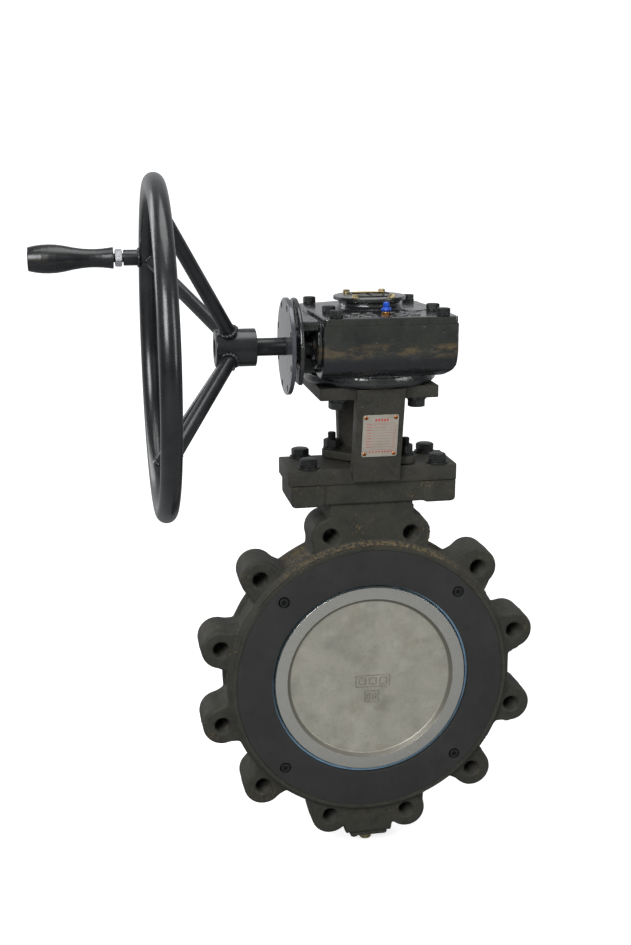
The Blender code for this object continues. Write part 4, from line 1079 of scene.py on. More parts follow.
def build_body():
    ob = body_casting()
    cut(ob, cylinder(RING_BORE_R, 60, -60, 256, "Y"),
        block((-140, -60, TOP_Z), (140, 60, 300)),
        block((-60, -60, -260), (60, 60, BOSS_Z)), solver="MANIFOLD")
    # machined ring with the gasket faces and the pocket for seat and retainer
    rim = [(163.5, FACE, 0.5), (163.6, 29.0, 0.3), (161.6, 27.2)]
    fuse(ob, revolve(rim + mirrored(rim) + [
        (124.0, -FACE, 0.8), (121.0, -FACE + 3, 0.8), (121.0, 18.7), (130.0, 18.7),
        (130.0, 25.2), (158.9, 25.2), (158.9, FACE, 0.35)], 288, "Y"), solver="MANIFOLD")
    holes, mouths = [], []
    for angle in LUG_ANGLES:
        x, z = LUG_PCR * math.cos(angle), LUG_PCR * math.sin(angle)
        tap = thread(11.0, 2.822, -30.0, 30.0, depth=1.62, steps=44, end=0.01)
        holes.append(moved(tap, place("Y", (x, 0, z), 0.7 * angle)))
        for side in (-1, 1):
            mouths.append(revolve([(0, side * 40), (11.6, side * 40), (11.6, side * 27.55),
                                   (10.4, side * 26.9), (0, side * 26.9)], 48, "Y", (x, 0, z)))
    for at in RETAINER_SCREWS:
        holes.append(revolve([(0, 27), (3.3, 27), (3.3, 10), (0, 8)], 24, "Y", at))
    holes.append(revolve([(0, 260), (25.3, 260), (25.3, 190), (BODY_BEARING_R, 190),
                          (BODY_BEARING_R, 100), (0, 100)], 72, "Z", ON_STEM))
    holes.append(cylinder(BODY_BEARING_R, -100, -222, 72, "Z", ON_STEM))
    for sx, sy in CORNERS:
        holes.append(cylinder(6.3, 250, 200, 32, "Z",
                              at_stem(sx * BRACKET_BOLT_X, sy * BRACKET_BOLT_Y)))
    for side, stud in zip((-1, 1), GLAND_STUDS):
        holes.append(cylinder(5.3, 250, 219, 32, "Z", at_stem(*stud)))
        mouths.append(cylinder(2.8, -190, -210, 24, "Z",
                               at_stem(side * FOOT_SCREW, side * FOOT_SCREW)))
    cut(ob, merge(holes), merge(mouths), solver="MANIFOLD")
    finish(ob, "body_casting", "body", "body", "valve_body", smooth=38)


build_body()


# ---------------------------------------------------------------- retainer and seat
def build_retainer():
    ob = revolve([(158.6, FACE, 0.5), (158.6, FACE - 10), (130.3, FACE - 10), (130.3, 29.3),
                  (117.2, 29.3), (117.2, FACE - 0.2, 0.3), (118.0, FACE, 0.3)], 288, "Y")
    pockets = []
    for k, at in enumerate(RETAINER_SCREWS):
        pockets.append(revolve([(0, 37), (7.0, 37), (7.0, 35.45), (6.75, 35.1), (6.75, 32.6),
                                (3.35, 29.4), (3.35, 20), (0, 20)], 48, "Y", at))
        socket = moved(hexagon(5.0, 31.8, 36.0, top=False, spin=0.35 * k), place("Y"))
        screw = revolve([(0, 35.2), (4.9, 35.2, 0.4), (5.15, 34.4), (5.0, 33.0), (3.0, 31.0),
                         (3.0, 12.0), (0, 12.0)], 48, "Y")
        cut(screw, socket)
        moved(screw, Matrix.Translation(at))
        finish(screw, f"retainer_screw_look_{k + 1}", "black_oxide", "black_oxide",
               f"retainer_screw_{k + 1}")
    cut(ob, *pockets, solver="MANIFOLD")
    finish(ob, "retainer_look", "retainer", "retainer", "retainer_ring", smooth=25)


build_retainer()
finish(revolve([(129.7, 29.0), (129.7, 19.0), (119.5, 19.0, 0.6), (116.3, 22.0, 0.8),
                (115.5, 25.0, 0.8), (115.15, 29.0, 0.3)], 288, "Y"),
       "seat_look", "seat", "seat", "seat_ring")

# ---------------------------------------------------------------- disc and stem
DISC_R = 117.8                        # radius of the spherical sealing edge
PIN_Z = 62.0
STEM_R = 16.0
MARK_HEIGHT = 15.5
# raised frames on the disc's front face:
# name, left x, bottom z, width, number of bars, half width of a bar, first bar's centre from left
DISC_FRAMES = [("frame_a", -17.5, -11.4, 41.5, 3, 4.6, 8.2),
               ("frame_b", -6.2, -30.6, 17.5, 2, 2.2, 5.2)]


def disc_edge(h):
    return math.sqrt(DISC_R * DISC_R - h * h)


def build_disc():
    ob = revolve([(0, 27.5), (95.0, 27.5, 1.2), (99.2, 32.5, 0.6), (113.0, 32.5, 0.35),
                  (disc_edge(32.0), 32.0)]
                 + [(disc_edge(h), h) for h in (30, 28, 26, 24, 22, 20, 18)]
                 + [(disc_edge(17.2), 17.2, 1.0), (113.0, 14.6, 2.0), (104.0, 13.0, 3.0),
                    (60, 11.0), (0.0, 9.0)], 288, "Y", corner_steps=6)
    fuse(ob, revolve([(0, 112), (25.5, 112, 1.5), (26.5, 111), (26.5, -111), (25.5, -112, 1.5),
                      (0, -112)], 96, "Z", ON_STEM))
    for side in (-1, 1):
        fuse(ob, revolve([(0, -26.0), (9.5, -26.0, 1.5), (12.5, -14.0), (0, -14.0)], 64, "Y",
                         at_stem(0, 0, side * PIN_Z)))
    cut(ob, cylinder(STEM_R + 0.3, 140, -140, 72, "Z", ON_STEM))
    finish(ob, "disc_look", "disc", "disc", "disc", body=DISC_BODY, smooth=30)


def build_disc_frames():
    tilt = Matrix.Rotation(math.radians(1.5), 4, "Y")

    def mark(loops, top, name):
        ob = moved(slab(loops, 27.3, top, 0.25, "Y"), tilt)
        finish(ob, name, "disc_mark", "disc", body=DISC_BODY)

    for name, x0, z0, width, bars, half, inset in DISC_FRAMES:
        z1 = z0 + MARK_HEIGHT
        mark(rect_frame(x0, z0, x0 + width, z1, 1.1, 1.6, 1.0), 28.25, f"disc_{name}")
        for k in range(bars):
            x = x0 + inset + k * ((width - 2 * inset) / (bars - 1))
            mark(rect_frame(x - half, z0 + 3.0, x + half, z1 - 3.0, 1.3, 1.6, 0.5), 28.1,
                 f"disc_{name}_bar_{k + 1}")


build_disc()
build_disc_frames()
for number, side in enumerate((1, -1), 1):
    finish(revolve([(0, 22.6), (4.4, 22.6, 0.3), (5.0, 22.0), (5.0, -28.2), (4.2, -29.0, 0.3),
                    (0, -29.0)], 48, "Y", at_stem(0, 0, side * PIN_Z)),
           f"disc_pin_look_{number}", "steel", "steel", f"disc_pin_{number}", body=DISC_BODY)
finish(revolve([(0, 426.0), (14.5, 426.0, 0.4), (STEM_R, 424.5), (STEM_R, -194.0),
                (14.0, -196.0), (0, -196.0)], 96, "Z", ON_STEM),
       "stem_look", "stem", "steel", "stem", body=DISC_BODY)

# ---------------------------------------------------------------- gland flange and follower
GLAND_MID_R, GLAND_END_R = 23.0, 11.5
GLAND_TOP = 267.3


def gland_loop():
    """A large circle between two small ones, joined by tangents."""
    beta = math.acos((GLAND_MID_R - GLAND_END_R) / GLAND_STUD_R)
    # x of the centre, radius, first angle, last angle, steps
    arcs = ((GLAND_STUD_R, GLAND_END_R, -beta, beta, 20),
            (0.0, GLAND_MID_R, beta, math.pi - beta, 14),
            (-GLAND_STUD_R, GLAND_END_R, math.pi - beta, math.pi + beta, 20),
            (0.0, GLAND_MID_R, math.pi + beta, TAU - beta, 14))
    points = []
    for centre, r, a0, a1, steps in arcs:
        for i in range(steps + 1):
            a = a0 + (a1 - a0) * i / steps
            points.append(turn_gland(centre + r * math.cos(a), r * math.sin(a)))
    return points


finish(slab([gland_loop(), circle(16.6, 72)] + [circle(5.4, 40, x, y) for x, y in GLAND_STUDS],
            258.3, GLAND_TOP, 0.9, "Z", ON_STEM), "gland_look", "yoke", "body", "gland_flange")
finish(revolve([(24.2, 258.0, 0.4), (25.0, 257.2), (25.0, 215.3), (16.3, 215.3),
                (16.3, 258.0)], 96, "Z", ON_STEM),
       "packing_gland_look", "stem", "steel", "packing_gland")
for number, stud in enumerate(GLAND_STUDS, 1):
    on_stud = Matrix.Translation(at_stem(*stud))
    finish(moved(thread(4.95, 1.5, 222.2, 287.0), on_stud), f"gland_stud_look_{number}",
           "black_oxide", "black_oxide", f"gland_stud_{number}", smooth=50)
    nut_spin = math.radians(15 if number == 1 else -15)
    finish(moved(hexagon(17.0, 269.6, 279.0, bottom=True, spin=nut_spin, bore=5.05), on_stud),
           f"gland_nut_look_{number}", "black_oxide", "black_oxide", f"gland_nut_{number}")
    finish(washer(10.2, 5.3, 269.5, GLAND_TOP + 0.1, 0.3, 64, at_stem(*stud)),
           f"gland_washer_{number}", "black_oxide", "black_oxide")


# ---------------------------------------------------------------- bottom cover
def foot_plate(hole_r, hole_steps, bottom, top, edge):
    """Square plate with a middle hole and two screw holes on a diagonal."""
    screws = [circle(2.9, 28, side * FOOT_SCREW, side * FOOT_SCREW) for side in (-1, 1)]
    return slab([rounded_rect(-23, -23, 23, 23, 5), circle(hole_r, hole_steps)] + screws,
                bottom, top, edge, "Z", ON_STEM)


finish(foot_plate(21, 64, -202.3, -201.3, 0.0), "bottom_gasket_look", "graphite", "graphite",
       "bottom_gasket")
finish(foot_plate(6.0, 48, -207.0, -202.6, 0.7), "bottom_cover_look", "yoke", "body",
       "bottom_cover")
for number, side in enumerate((-1, 1), 1):
    screw = revolve([(0, -192.5), (2.5, -192.5), (2.5, -207.05), (4.3, -207.05, 0.3),
                     (4.3, -208.9, 0.6), (0, -209.3)], 48)
    cut(screw, hexagon(3.0, -211.0, -207.9, top=False, spin=0.4 * (number - 1)))
    moved(screw, Matrix.Translation(at_stem(side * FOOT_SCREW, side * FOOT_SCREW)))
    finish(screw, f"bottom_screw_look_{number}", "black_oxide", "black_oxide",
           f"bottom_cover_screw_{number}")
bottom_plug = revolve([(0, -198.2), (5.2, -198.2), (5.7, -198.8), (5.7, -207.6),
                       (9.0, -207.6, 0.3), (9.0, -209.4, 0.3), (0, -209.4)], 64)
fuse(bottom_plug, hexagon(13.0, -221.5, -208.6, top=False, bottom=True, spin=0.2))
finish(moved(bottom_plug, Matrix.Translation(ON_STEM)), "bottom_plug_look", "yellow_zinc",
       "yellow_zinc", "bottom_plug")

# ---------------------------------------------------------------- yoke
LEG_FOOT, LEG_HEAD = (44.0, 243.0), (66.0, 351.0)     # outer face of a leg: distance in Y, Z
LEG_WIDTH = 15.5
LEG_SLOPE = (LEG_HEAD[0] - LEG_FOOT[0]) / (LEG_HEAD[1] - LEG_FOOT[1])


def leg_y(z):
    """Distance of a leg's outer face from the stem, in Y."""
    return LEG_FOOT[0] + (z - LEG_FOOT[1]) * LEG_SLOPE


def build_yoke():
    ob = block((-97, -PLATE_HALF, 238.0), (97, PLATE_HALF, PLATE_TOP), 1.6, 4)
    deck = block(at_stem(-66.5, -56, DECK_Z), at_stem(66.5, 56, 352.0), 1.4, 4)
    legs = []
    for side in (-1, 1):
        (y0, z0), (y1, z1) = LEG_FOOT, LEG_HEAD
        loop = [(side * y0, z0), (side * (y0 - LEG_WIDTH), z0), (side * (y1 - LEG_WIDTH), z1),
                (side * y1, z1)]
        if side > 0:
            loop.reverse()
        legs.append(side_slab(loop, -27.0, 27.0, 1.1, ON_STEM))
    fuse(ob, deck, *legs)
    holes = [cylinder(26.5, 270, 230, 96, "Z", ON_STEM), cylinder(32.0, 370, 320, 96, "Z", ON_STEM)]
    for sx, sy in CORNERS:
        holes.append(cylinder(6.5, 270, 230, 40, "Z",
                              at_stem(sx * BRACKET_BOLT_X, sy * BRACKET_BOLT_Y)))
        holes.append(cylinder(6.5, 370, 330, 40, "Z",
                              at_stem(sx * GEARBOX_BOLT, sy * GEARBOX_BOLT)))
    holes += [cylinder(5.6, 270, 230, 40, "Z", at_stem(*stud)) for stud in GLAND_STUDS]
    cut(ob, *holes)
    finish(ob, "yoke_look", "yoke", "body", "yoke_bracket")


def build_yoke_welds():
    """Fillets where the inner faces of the legs meet the bottom plate and the deck."""
    size = 4.0
    number = 0
    for side in (-1, 1):
        for z, up in ((PLATE_TOP, 1), (DECK_Z, -1)):
            inner = leg_y(z) - (LEG_WIDTH + 0.3)
            loop = [(side * inner, z), (side * (inner - size), z),
                    (side * (inner + up * LEG_SLOPE * size), z + up * size)]
            number += 1
            finish(side_slab(loop, -25.5, 25.5, 0.35, ON_STEM), f"yoke_weld_{number}", "yoke",
                   "body")


build_yoke()
build_yoke_welds()


# ---------------------------------------------------------------- yoke bolts
def make_bolt(flats, head, radius, shank, pitch):
    """Hexagon bolt with the underside of its head at z = 0 and its shank below."""
    ob = hexagon(flats, 0.0, head)
    fuse(ob, cylinder(flats * 0.46, 0.6, -0.001, 64))
    return fuse(ob, thread(radius - 0.05, pitch, -shank, 0.4))


def put_bolt(bolt, name, at, spin, node, turn=0.0):
    """Finishes a copy of a bolt, turned about X and then moved to its place."""
    mesh = bolt.data.copy()
    mesh.transform(Matrix.Translation(at) @ Matrix.Rotation(turn, 4, "X")
                   @ Matrix.Rotation(spin, 4, "Z"))
    ob = bpy.data.objects.new(name, mesh)
    TEMP.objects.link(ob)
    finish(ob, name, "black_oxide", "black_oxide", node)


bracket_bolt = make_bolt(18.4, 6.1, 6.0, 39.0, 1.75)
gearbox_bolt = make_bolt(19.0, 7.5, 6.0, 31.0, 1.75)
lid_bolt = make_bolt(13.0, 5.5, 4.0, 22.0, 1.25)
BRACKET_SPINS = (0.05, -0.16, 0.12, 0.3)
for number, (sy, sx) in enumerate(CORNERS, 1):
    x, y = STEM_X + sx * BRACKET_BOLT_X, sy * BRACKET_BOLT_Y
    put_bolt(bracket_bolt, f"bracket_bolt_look_{number}", (x, y, 262.1),
             BRACKET_SPINS[number - 1], f"bracket_bolt_{number}")
    finish(washer(12.3, 6.5, 259.2, PLATE_TOP + 0.05, 0.45, 72, (x, y, 0)),
           f"bracket_washer_{number}", "black_oxide", "black_oxide")
    finish(spring_washer(6.2, 10.2, 259.3, 2.6, (x, y, 0)),
           f"bracket_spring_washer_{number}", "black_oxide", "black_oxide")
    x, y = STEM_X + sx * GEARBOX_BOLT, sy * GEARBOX_BOLT
    put_bolt(gearbox_bolt, f"gearbox_bolt_look_{number}", (x, y, 334.7), 0.5 + 0.4 * number,
             f"gearbox_bolt_{number}", turn=math.pi)
    finish(washer(11.8, 6.5, DECK_Z - 0.1, 336.6, 0.35, 72, (x, y, 0)),
           f"gearbox_washer_{number}", "black_oxide", "black_oxide")
    finish(spring_washer(6.2, 10.4, 334.9, 1.55, (x, y, 0)),
           f"gearbox_spring_washer_{number}", "black_oxide", "black_oxide")

# ---------------------------------------------------------------- nameplate on the front leg
NAMEPLATE_Z = 297.5
RIVET_X, RIVET_Y = 16.6, 21.6
ROW_PITCH = 3.35
# printed marks on the plate: name, rectangles (x0, y0, x1, y1) and ink
NAMEPLATE_PRINT = [
    ("head", [(-6.5 + 3.2 * q, 17.4, -4.4 + 3.2 * q, 20.4) for q in range(5)], "ink_red"),
    ("rows", [(-8.0, 13.4 - ROW_PITCH * q, 15.2, 13.75 - ROW_PITCH * q) for q in range(9)]
     + [(-15.8, 13.2 - ROW_PITCH * q, -9.8, 14.4 - ROW_PITCH * q) for q in range(9)], "ink_pale"),
    ("foot", [(-11.5 + 3.4 * q, -19.8, -9.6 + 3.4 * q, -18.2) for q in range(8)], "ink_red"),
    ("border", [(-16.8, 15.0, 16.4, 15.3), (-16.8, -16.6, 16.4, -16.3), (-8.3, -15.0, -8.0, 14.0),
                (15.2, -15.0, 15.5, 14.0), (16.8, -16.0, 17.1, 15.0)], "ink_pale"),
]


def build_nameplate():
    on_leg = (Matrix.Translation(at_stem(0.8, -leg_y(NAMEPLATE_Z), NAMEPLATE_Z))
              @ Matrix.Rotation(math.pi / 2 + math.atan(LEG_SLOPE), 4, "X"))
    holes = [circle(1.6, 20, sx * RIVET_X, sy * RIVET_Y) for sx, sy in CORNERS]
    plate = slab([rounded_rect(-20, -25, 20, 25, 2.4)] + holes, 0.3, 1.15, 0.12)
    finish(moved(plate, on_leg), "nameplate_look", "nameplate", "nameplate", "nameplate")
    for number, (sx, sy) in enumerate(CORNERS, 1):
        rivet = revolve([(0, 2.1), (0.9, 2.0), (1.7, 1.7), (2.2, 1.2), (1.45, 1.16),
                         (1.45, 0.32), (0, 0.32)], 32)
        moved(rivet, on_leg @ Matrix.Translation((sx * RIVET_X, sy * RIVET_Y, 0)))
        finish(rivet, f"nameplate_rivet_{number}", "copper", "bronze")
    for name, rects, ink in NAMEPLATE_PRINT:
        bm = bmesh.new()
        for x0, y0, x1, y1 in rects:
            bmesh.ops.create_cube(
                bm, size=1.0, matrix=Matrix.Translation(((x0 + x1) / 2, (y0 + y1) / 2, 1.17))
                @ Matrix.Diagonal((x1 - x0, y1 - y0, 0.06, 1.0)))
        finish(settle(bm, on_leg), f"nameplate_{name}", ink, "nameplate")


build_nameplate()

# ---------------------------------------------------------------- gear housing
LID_BOLTS = []
for number in range(1, 7):
    low, high = span(f"cover_bolt_{number}")
    LID_BOLTS.append(((low.x + high.x) / 2, (low.y + high.y) / 2))
LID_TOP = 431.6
HOUSING_BOTTOM = 352.3
CASE_LEFT, CASE_RIGHT = -67.3, 79.0                   # ends of the worm case


def cover_loop(grow):
    """Outline shared by the lid and the housing rim, grown by grow."""
    right, front, left = CASE_RIGHT + grow, -91.3 - grow, -66.5 - grow
    ear_x, ear_y = LID_BOLTS[1]
    ear_r = 13 + grow
    return (arc(right - 4.0, front + 4.0, 4.0, -90, 90, 6) + [(right, -36.0)]
            + arc(ear_x, ear_y, ear_r, -20, 130, 14)
            + arc(STEM_X, 0, 82 + grow, 58, 64, 14)
            + arc(-ear_x + 2 * STEM_X, ear_y, ear_r, 70, 130, 14)
            + [(left, -30.0), (left, -87.8 - grow), (-65.6 - grow, -90.4 - grow),
               (-63.0 - grow, front)])


def worm_case():
    """Half round below with a flat front; its lower right corner is rounded."""
    section = [(-91.5, 430.0), (-91.5, 398.0)]
    for i in range(1, 32):
        a = math.pi + math.pi * i / 32
        section.append((-59.0 + 32.5 * math.cos(a), 397.0 + 33.0 * math.sin(a)))
    section += [(-26.5, 397.0), (-26.5, 430.0)]
    front = ([(CASE_LEFT, 431.0), (CASE_LEFT, 366.0), (-65.0, 363.5)]
             + arc(CASE_RIGHT - 19.0, 363.5 + 19.0, 19.0, -90, 90, 12) + [(CASE_RIGHT, 431.0)])
    return trim(side_slab(section, CASE_LEFT, CASE_RIGHT), slab([front], -10.0, 130.0, 0.0, "Y"))


def housing_casting():
    parts = [
        # round base and gear chamber
        revolve([(0, 366), (72, 366), (75, 363.5, 2.0), (75, 356.0, 2.5), (71.5, 352.3, 1.5),
                 (0, HOUSING_BOTTOM)], 160, "Z", ON_STEM),
        cylinder(68, 430, 360, 160, "Z", ON_STEM),
        worm_case(),
        slab([cover_loop(-0.2)], 412.0, 430.0),
        # wing on the left: two top plates, front and rear walls
        block((-95.5, -85, 418.5), (-70.1, 24, 429.3), 2.2, 4),
        block((-74, -82, 415.5), (-58, 20, 423.4), 1.2, 2),
        block((-94.5, -44, 367), (-45, -34, 421), 2.0, 3),
        block((-94.5, 14, 372), (-40, 23, 421), 2.0, 3),
    ]
    # round face on the left for the input flange, cut flat below
    ring = revolve([(0, -91.2), (51.2, -91.2, 1.0), (51.2, -95.8, 1.0), (0, -95.8)], 128, "X",
                   ON_WORM)
    cut(ring, block((-110, -160, 300), (-80, 60, 364)))
    parts += [ring, block((-95.6, -40, 367), (-91.2, 22, 427), 1.0, 2)]
    # bosses for the stop screws at the rear
    for side in (-1, 1):
        parts.append(revolve([(0, -44), (9.5, -44), (9.5, -69.0, 1.2), (10.5, -70, 0.8),
                              (0, -70)], 64, "Y", at_stem(side * STOP_SCREW_X, 0, WORM_Z)))
    # ribs low on the left and right
    parts.append(block((-62, -30, 356), (-48, 20, 372), 3.0, 3))
    parts.append(block((50, -30, 356), (66, 20, 372), 3.0, 3))
    return cast(parts, voxel=1.15, iterations=5, wobble=0.22, size=15.0)


def build_housing():
    ob = housing_casting()
    cuts = [block((-68.0, -120, 423.95), (120, 120, 460)),
            block((-120, -120, 320), (120, 120, HOUSING_BOTTOM)),
            cylinder(57.5, 460, 377, 128, "Z", ON_STEM),
            cylinder(17.0, 400, 330, 72, "Z", ON_STEM),
            cylinder(18.5, 59, -72, 72, "X", ON_WORM),
            cylinder(25.6, -67.6, -77.8, 96, "X", ON_WORM),
            cylinder(12.0, -80, -100, 64, "X", ON_WORM)]
    drills = []
    for sx in (-1, 1):
        for sy in (-1, 1):
            drills.append(cylinder(6.3, 368, 340, 32, "Z",
                                   at_stem(sx * GEARBOX_BOLT, sy * GEARBOX_BOLT)))
        drills.append(moved(cylinder(5.3, 85, 22, 32, "Y"),
                            Matrix.Translation(at_stem(sx * STOP_SCREW_X, 0, WORM_Z))
                            @ Matrix.Rotation(math.pi, 4, "Z")))
    for x, y in LID_BOLTS:
        drills.append(cylinder(4.3, 440, 412, 32, "Z", (x, y, 0)))
    cut(ob, *cuts, merge(drills), solver="MANIFOLD")
    finish(ob, "housing_casting", "enamel", "enamel", "gear_housing", smooth=40)


build_housing()

# ---------------------------------------------------------------- housing lid
NIPPLE = (4.0, -71.0, 0)
# raised bars between the lid's boss and its front edge: x0, y0, x1, y1
LID_RELIEF = [
    (-38, -84, -27, -75), (-24, -83, -14, -75), (-11, -82, -6, -76), (-38, -70, -31, -62),
    (-27, -70, -17, -61), (-13, -69, -5, -61), (14, -80, 26, -72), (29, -78, 40, -71),
    (15, -66, 23, -58), (27, -65, 37, -58), (-30, -56, -20, -50), (-14, -54, -6, -49),
    (10, -53, 19, -47)]


def lid_pad(radius, top, corner, foot_radius, depth, steps, at):
    """Low round pad on the lid; top is its height over LID_TOP."""
    return revolve([(0, LID_TOP + top), (radius, LID_TOP + top, corner),
                    (foot_radius, LID_TOP - depth), (0, LID_TOP - depth)], steps, "Z", at)


def build_cover():
    """Cast plate with a raised seat for the indicator, spot faces and low relief."""
    parts = [
        slab([cover_loop(-0.3)], 418.0, LID_TOP - 0.2),
        slab([cover_loop(-3.2)], 425.0, LID_TOP + 0.1),
        revolve([(0, 442.0), (35.4, 442.0, 0.5), (35.6, 440.6, 0.4), (34.2, 439.6, 0.5),
                 (34.6, 436.4), (36.2, 434.6, 1.0), (39.5, LID_TOP - 1.0), (0, LID_TOP - 1.0)],
                128, "Z", ON_STEM),
        lid_pad(12.0, 1.3, 0.5, 12.2, 1, 64, (43.3, -31.4, 0)),
        block((36.0, -33.5, LID_TOP - 1), (60.0, -21.5, LID_TOP + 1.2), 0.4, 2),
        lid_pad(7.6, 0.6, 0.5, 8.4, 1, 64, NIPPLE),
    ]
    for x, y in LID_BOLTS:
        parts.append(lid_pad(8.0, 0.05, 0.3, 9.2, 1.5, 48, (x, max(y, -80.5), 0)))
    for x0, y0, x1, y1 in LID_RELIEF:
        parts.append(block((x0, y0, LID_TOP - 1.5), (x1, y1, LID_TOP + 1.5), 0.5, 2))
    ob = cast(parts, voxel=0.85, iterations=3, wobble=0.16, size=11.0)
    drills = [cylinder(17.3, 460, 410, 72, "Z", ON_STEM), cylinder(3.3, 460, 410, 32, "Z", NIPPLE)]
    drills += [cylinder(4.4, 440, 410, 32, "Z", (x, y, 0)) for x, y in LID_BOLTS]
    cut(ob, block((-120, -120, 400), (120, 120, 424.05)), merge(drills), solver="MANIFOLD")
    finish(ob, "cover_casting", "enamel", "enamel", "housing_cover", smooth=40)


build_cover()
LID_BOLT_SPINS = (0.1, -0.2, 0.3, 0.15, -0.1, 0.25)
for number, ((x, y), bolt_spin) in enumerate(zip(LID_BOLTS, LID_BOLT_SPINS), 1):
    put_bolt(lid_bolt, f"cover_bolt_look_{number}", (x, y, LID_TOP + 2.5), bolt_spin,
             f"cover_bolt_{number}")
    finish(spring_washer(4.2, 7.1, LID_TOP + 0.3, 2.0, (x, y, 0)),
           f"cover_spring_washer_{number}", "black_oxide", "black_oxide")


def build_grease_nipple():
    """Blue cap with four small ears, over a bronze body with a hexagon."""
    cap = revolve([(0, 445.9), (2.2, 445.9, 0.5), (3.4, 444.6, 0.6), (3.4, 441.4, 0.5),
                   (2.9, 440.4, 0.3), (4.6, 439.2, 0.5), (4.9, 437.6, 0.5), (4.3, 436.4, 0.4),
                   (3.6, 436.0), (2.4, 436.0), (2.4, 438.0), (0, 438.0)], 48, "Z", NIPPLE)
    ears = []
    for q, reach in enumerate((5.9, 5.2, 5.9, 5.2)):
        ears.append(block((2.0, -1.1, 436.6), (reach, 1.1, 439.6 + 0.5 * (q % 2)), 0.5, 3,
                          place("Z", NIPPLE, TAU * q / 4 + 0.25)))
    fuse(cap, *ears)
    finish(cap, "grease_cap_look", "blue", "blue_cap", "grease_nipple")
    body = revolve([(0, 437.6), (2.2, 437.6), (2.2, 436.0), (3.9, 435.8, 0.3), (4.3, 434.9),
                    (4.3, 434.4, 0.3), (3.8, 434.0), (3.0, 431.9), (3.0, 425.5), (0, 425.5)], 48)
    fuse(body, hexagon(9.6, 432.0, 434.2, spin=0.3))
    finish(moved(body, Matrix.Translation(NIPPLE)), "grease_nipple_body", "bronze", "bronze")


build_grease_nipple()

# ---------------------------------------------------------------- position indicator
CAP_TOP = 445.8


def build_indicator():
    finish(revolve([(39.7, CAP_TOP, 0.2), (40.3, 445.2, 0.3), (40.3, 442.3, 0.3), (17.0, 442.3),
                    (17.0, CAP_TOP)], 144, "Z", ON_STEM),
           "indicator_cap_look", "enamel", "enamel", "indicator_cap")
    finish(revolve([(40.1, 442.25, 0.15), (40.1, 441.95, 0.1), (38.9, 441.95), (38.9, 442.25)],
                   144, "Z", ON_STEM), "indicator_gasket", "graphite", "graphite")
    for number, (sx, sy) in enumerate(CORNERS, 1):
        # the two front screws sit a little further left and forward
        x = STEM_X + sx * 20.3 - (1.6 if sy < 0 else 0.0)
        y = sy * 27.0 - (0.9 if sy < 0 else 0.0)
        screw = hexagon(7.0, 446.8, 449.6, spin=0.3 * number)
        fuse(screw, cylinder(1.95, 447.4, 441.0, 24))
        finish(moved(screw, Matrix.Translation((x, y, 0))), f"indicator_screw_{number}",
               "yellow_zinc", "yellow_zinc")
        finish(washer(4.4, 2.1, 446.7, CAP_TOP + 0.1, 0.2, 40, (x, y, 0)),
               f"indicator_washer_{number}", "yellow_zinc", "yellow_zinc")
    # low window frame around the pointer, with a yellow line along its rear edge
    window = [rounded_rect(-20.2, -19.6, 26.0, 22.0, 3.0),
              rounded_rect(-17.2, -17.0, 23.6, 18.4, 2.0)]
    finish(slab(window, CAP_TOP + 0.05, 446.8, 0.3, "Z", ON_STEM), "indicator_window_frame",
           "shaft", "enamel")
    finish(block(at_stem(-14.5, 18.4, 446.85), at_stem(21.5, 20.4, 447.6), 0.3, 2),
           "indicator_strip", "yellow_mark", "yellow_zinc")
    pointer = revolve([(0, 446.2), (14.5, 446.2, 0.3), (15.5, 445.4, 0.2), (15.5, 440.5),
                       (7.0, 440.5), (7.0, 426.3), (0, 426.3)], 96, "Z", ON_STEM)
    cut(pointer, block(at_stem(-2, -20, 445.2), at_stem(2, 20, 450)))
    finish(pointer, "pointer_look", "shaft", "steel", "position_pointer", body=DISC_BODY)


build_indicator()


# ---------------------------------------------------------------- input flange, end cover, stops
def build_input_flange():
    ob = revolve([(51.0, -100.0, 0.3), (51.5, -100.5), (51.5, -104.0), (51.0, -104.5, 0.3),
                  (10.0, -104.5), (10.0, -96.3), (20, -96.3), (20, -100.0, 1.5)], 192, "X",
                 ON_WORM)
    holes = []
    for k in range(8):
        a = math.radians(22.5 + 45 * k)
        y, z = WORM_Y + 45.5 * math.cos(a), WORM_Z + 45.5 * math.sin(a)
        holes.append(rod((-110, y, z), (-98, y, z), 3.75, 36))
    cut(ob, *holes)
    finish(ob, "input_flange_look", "flange", "enamel", "input_flange")


build_input_flange()
finish(revolve([(24.0, -67.8), (25.0, -68.5, 0.4), (25.0, -72.0, 0.8), (23.0, -73.4, 0.8),
                (15.5, -73.0, 1.2), (14.0, -76.0, 0.6), (9.8, -76.0), (9.8, -67.8)], 120, "X",
               ON_WORM), "end_cover_look", "enamel", "enamel", "worm_end_cover")

STOP_HEAD_Y = 84.0
TO_REAR = -math.pi / 2                # turn about X that points a bolt's head towards +Y
stop_screw = make_bolt(17.0, 6.4, 5.0, STOP_HEAD_Y - span("stop_screw_1")[0].y, 1.5)
for number, side in enumerate((-1, 1), 1):
    x = side * STOP_SCREW_X
    put_bolt(stop_screw, f"stop_screw_look_{number}", at_stem(x, STOP_HEAD_Y, WORM_Z), 0.2,
             f"stop_screw_{number}", turn=TO_REAR)
    locknut = hexagon(17.0, 0.0, 6.0, bottom=True, spin=0.5 * (number - 1), bore=5.05)
    moved(locknut, Matrix.Translation(at_stem(x, 70.3, WORM_Z)) @ Matrix.Rotation(TO_REAR, 4, "X"))
    finish(locknut, f"stop_locknut_{number}", "zinc", "zinc")

# ---------------------------------------------------------------- worm shaft
WORM_MODULE = 3.0
WORM_PITCH_R = 12.0
WORM_ROOT_R = WORM_PITCH_R - 1.25 * WORM_MODULE
WORM_LEAD = math.pi * WORM_MODULE
WORM_TURNS, WORM_STEPS = 4.6, 48      # turns of the thread, steps per turn


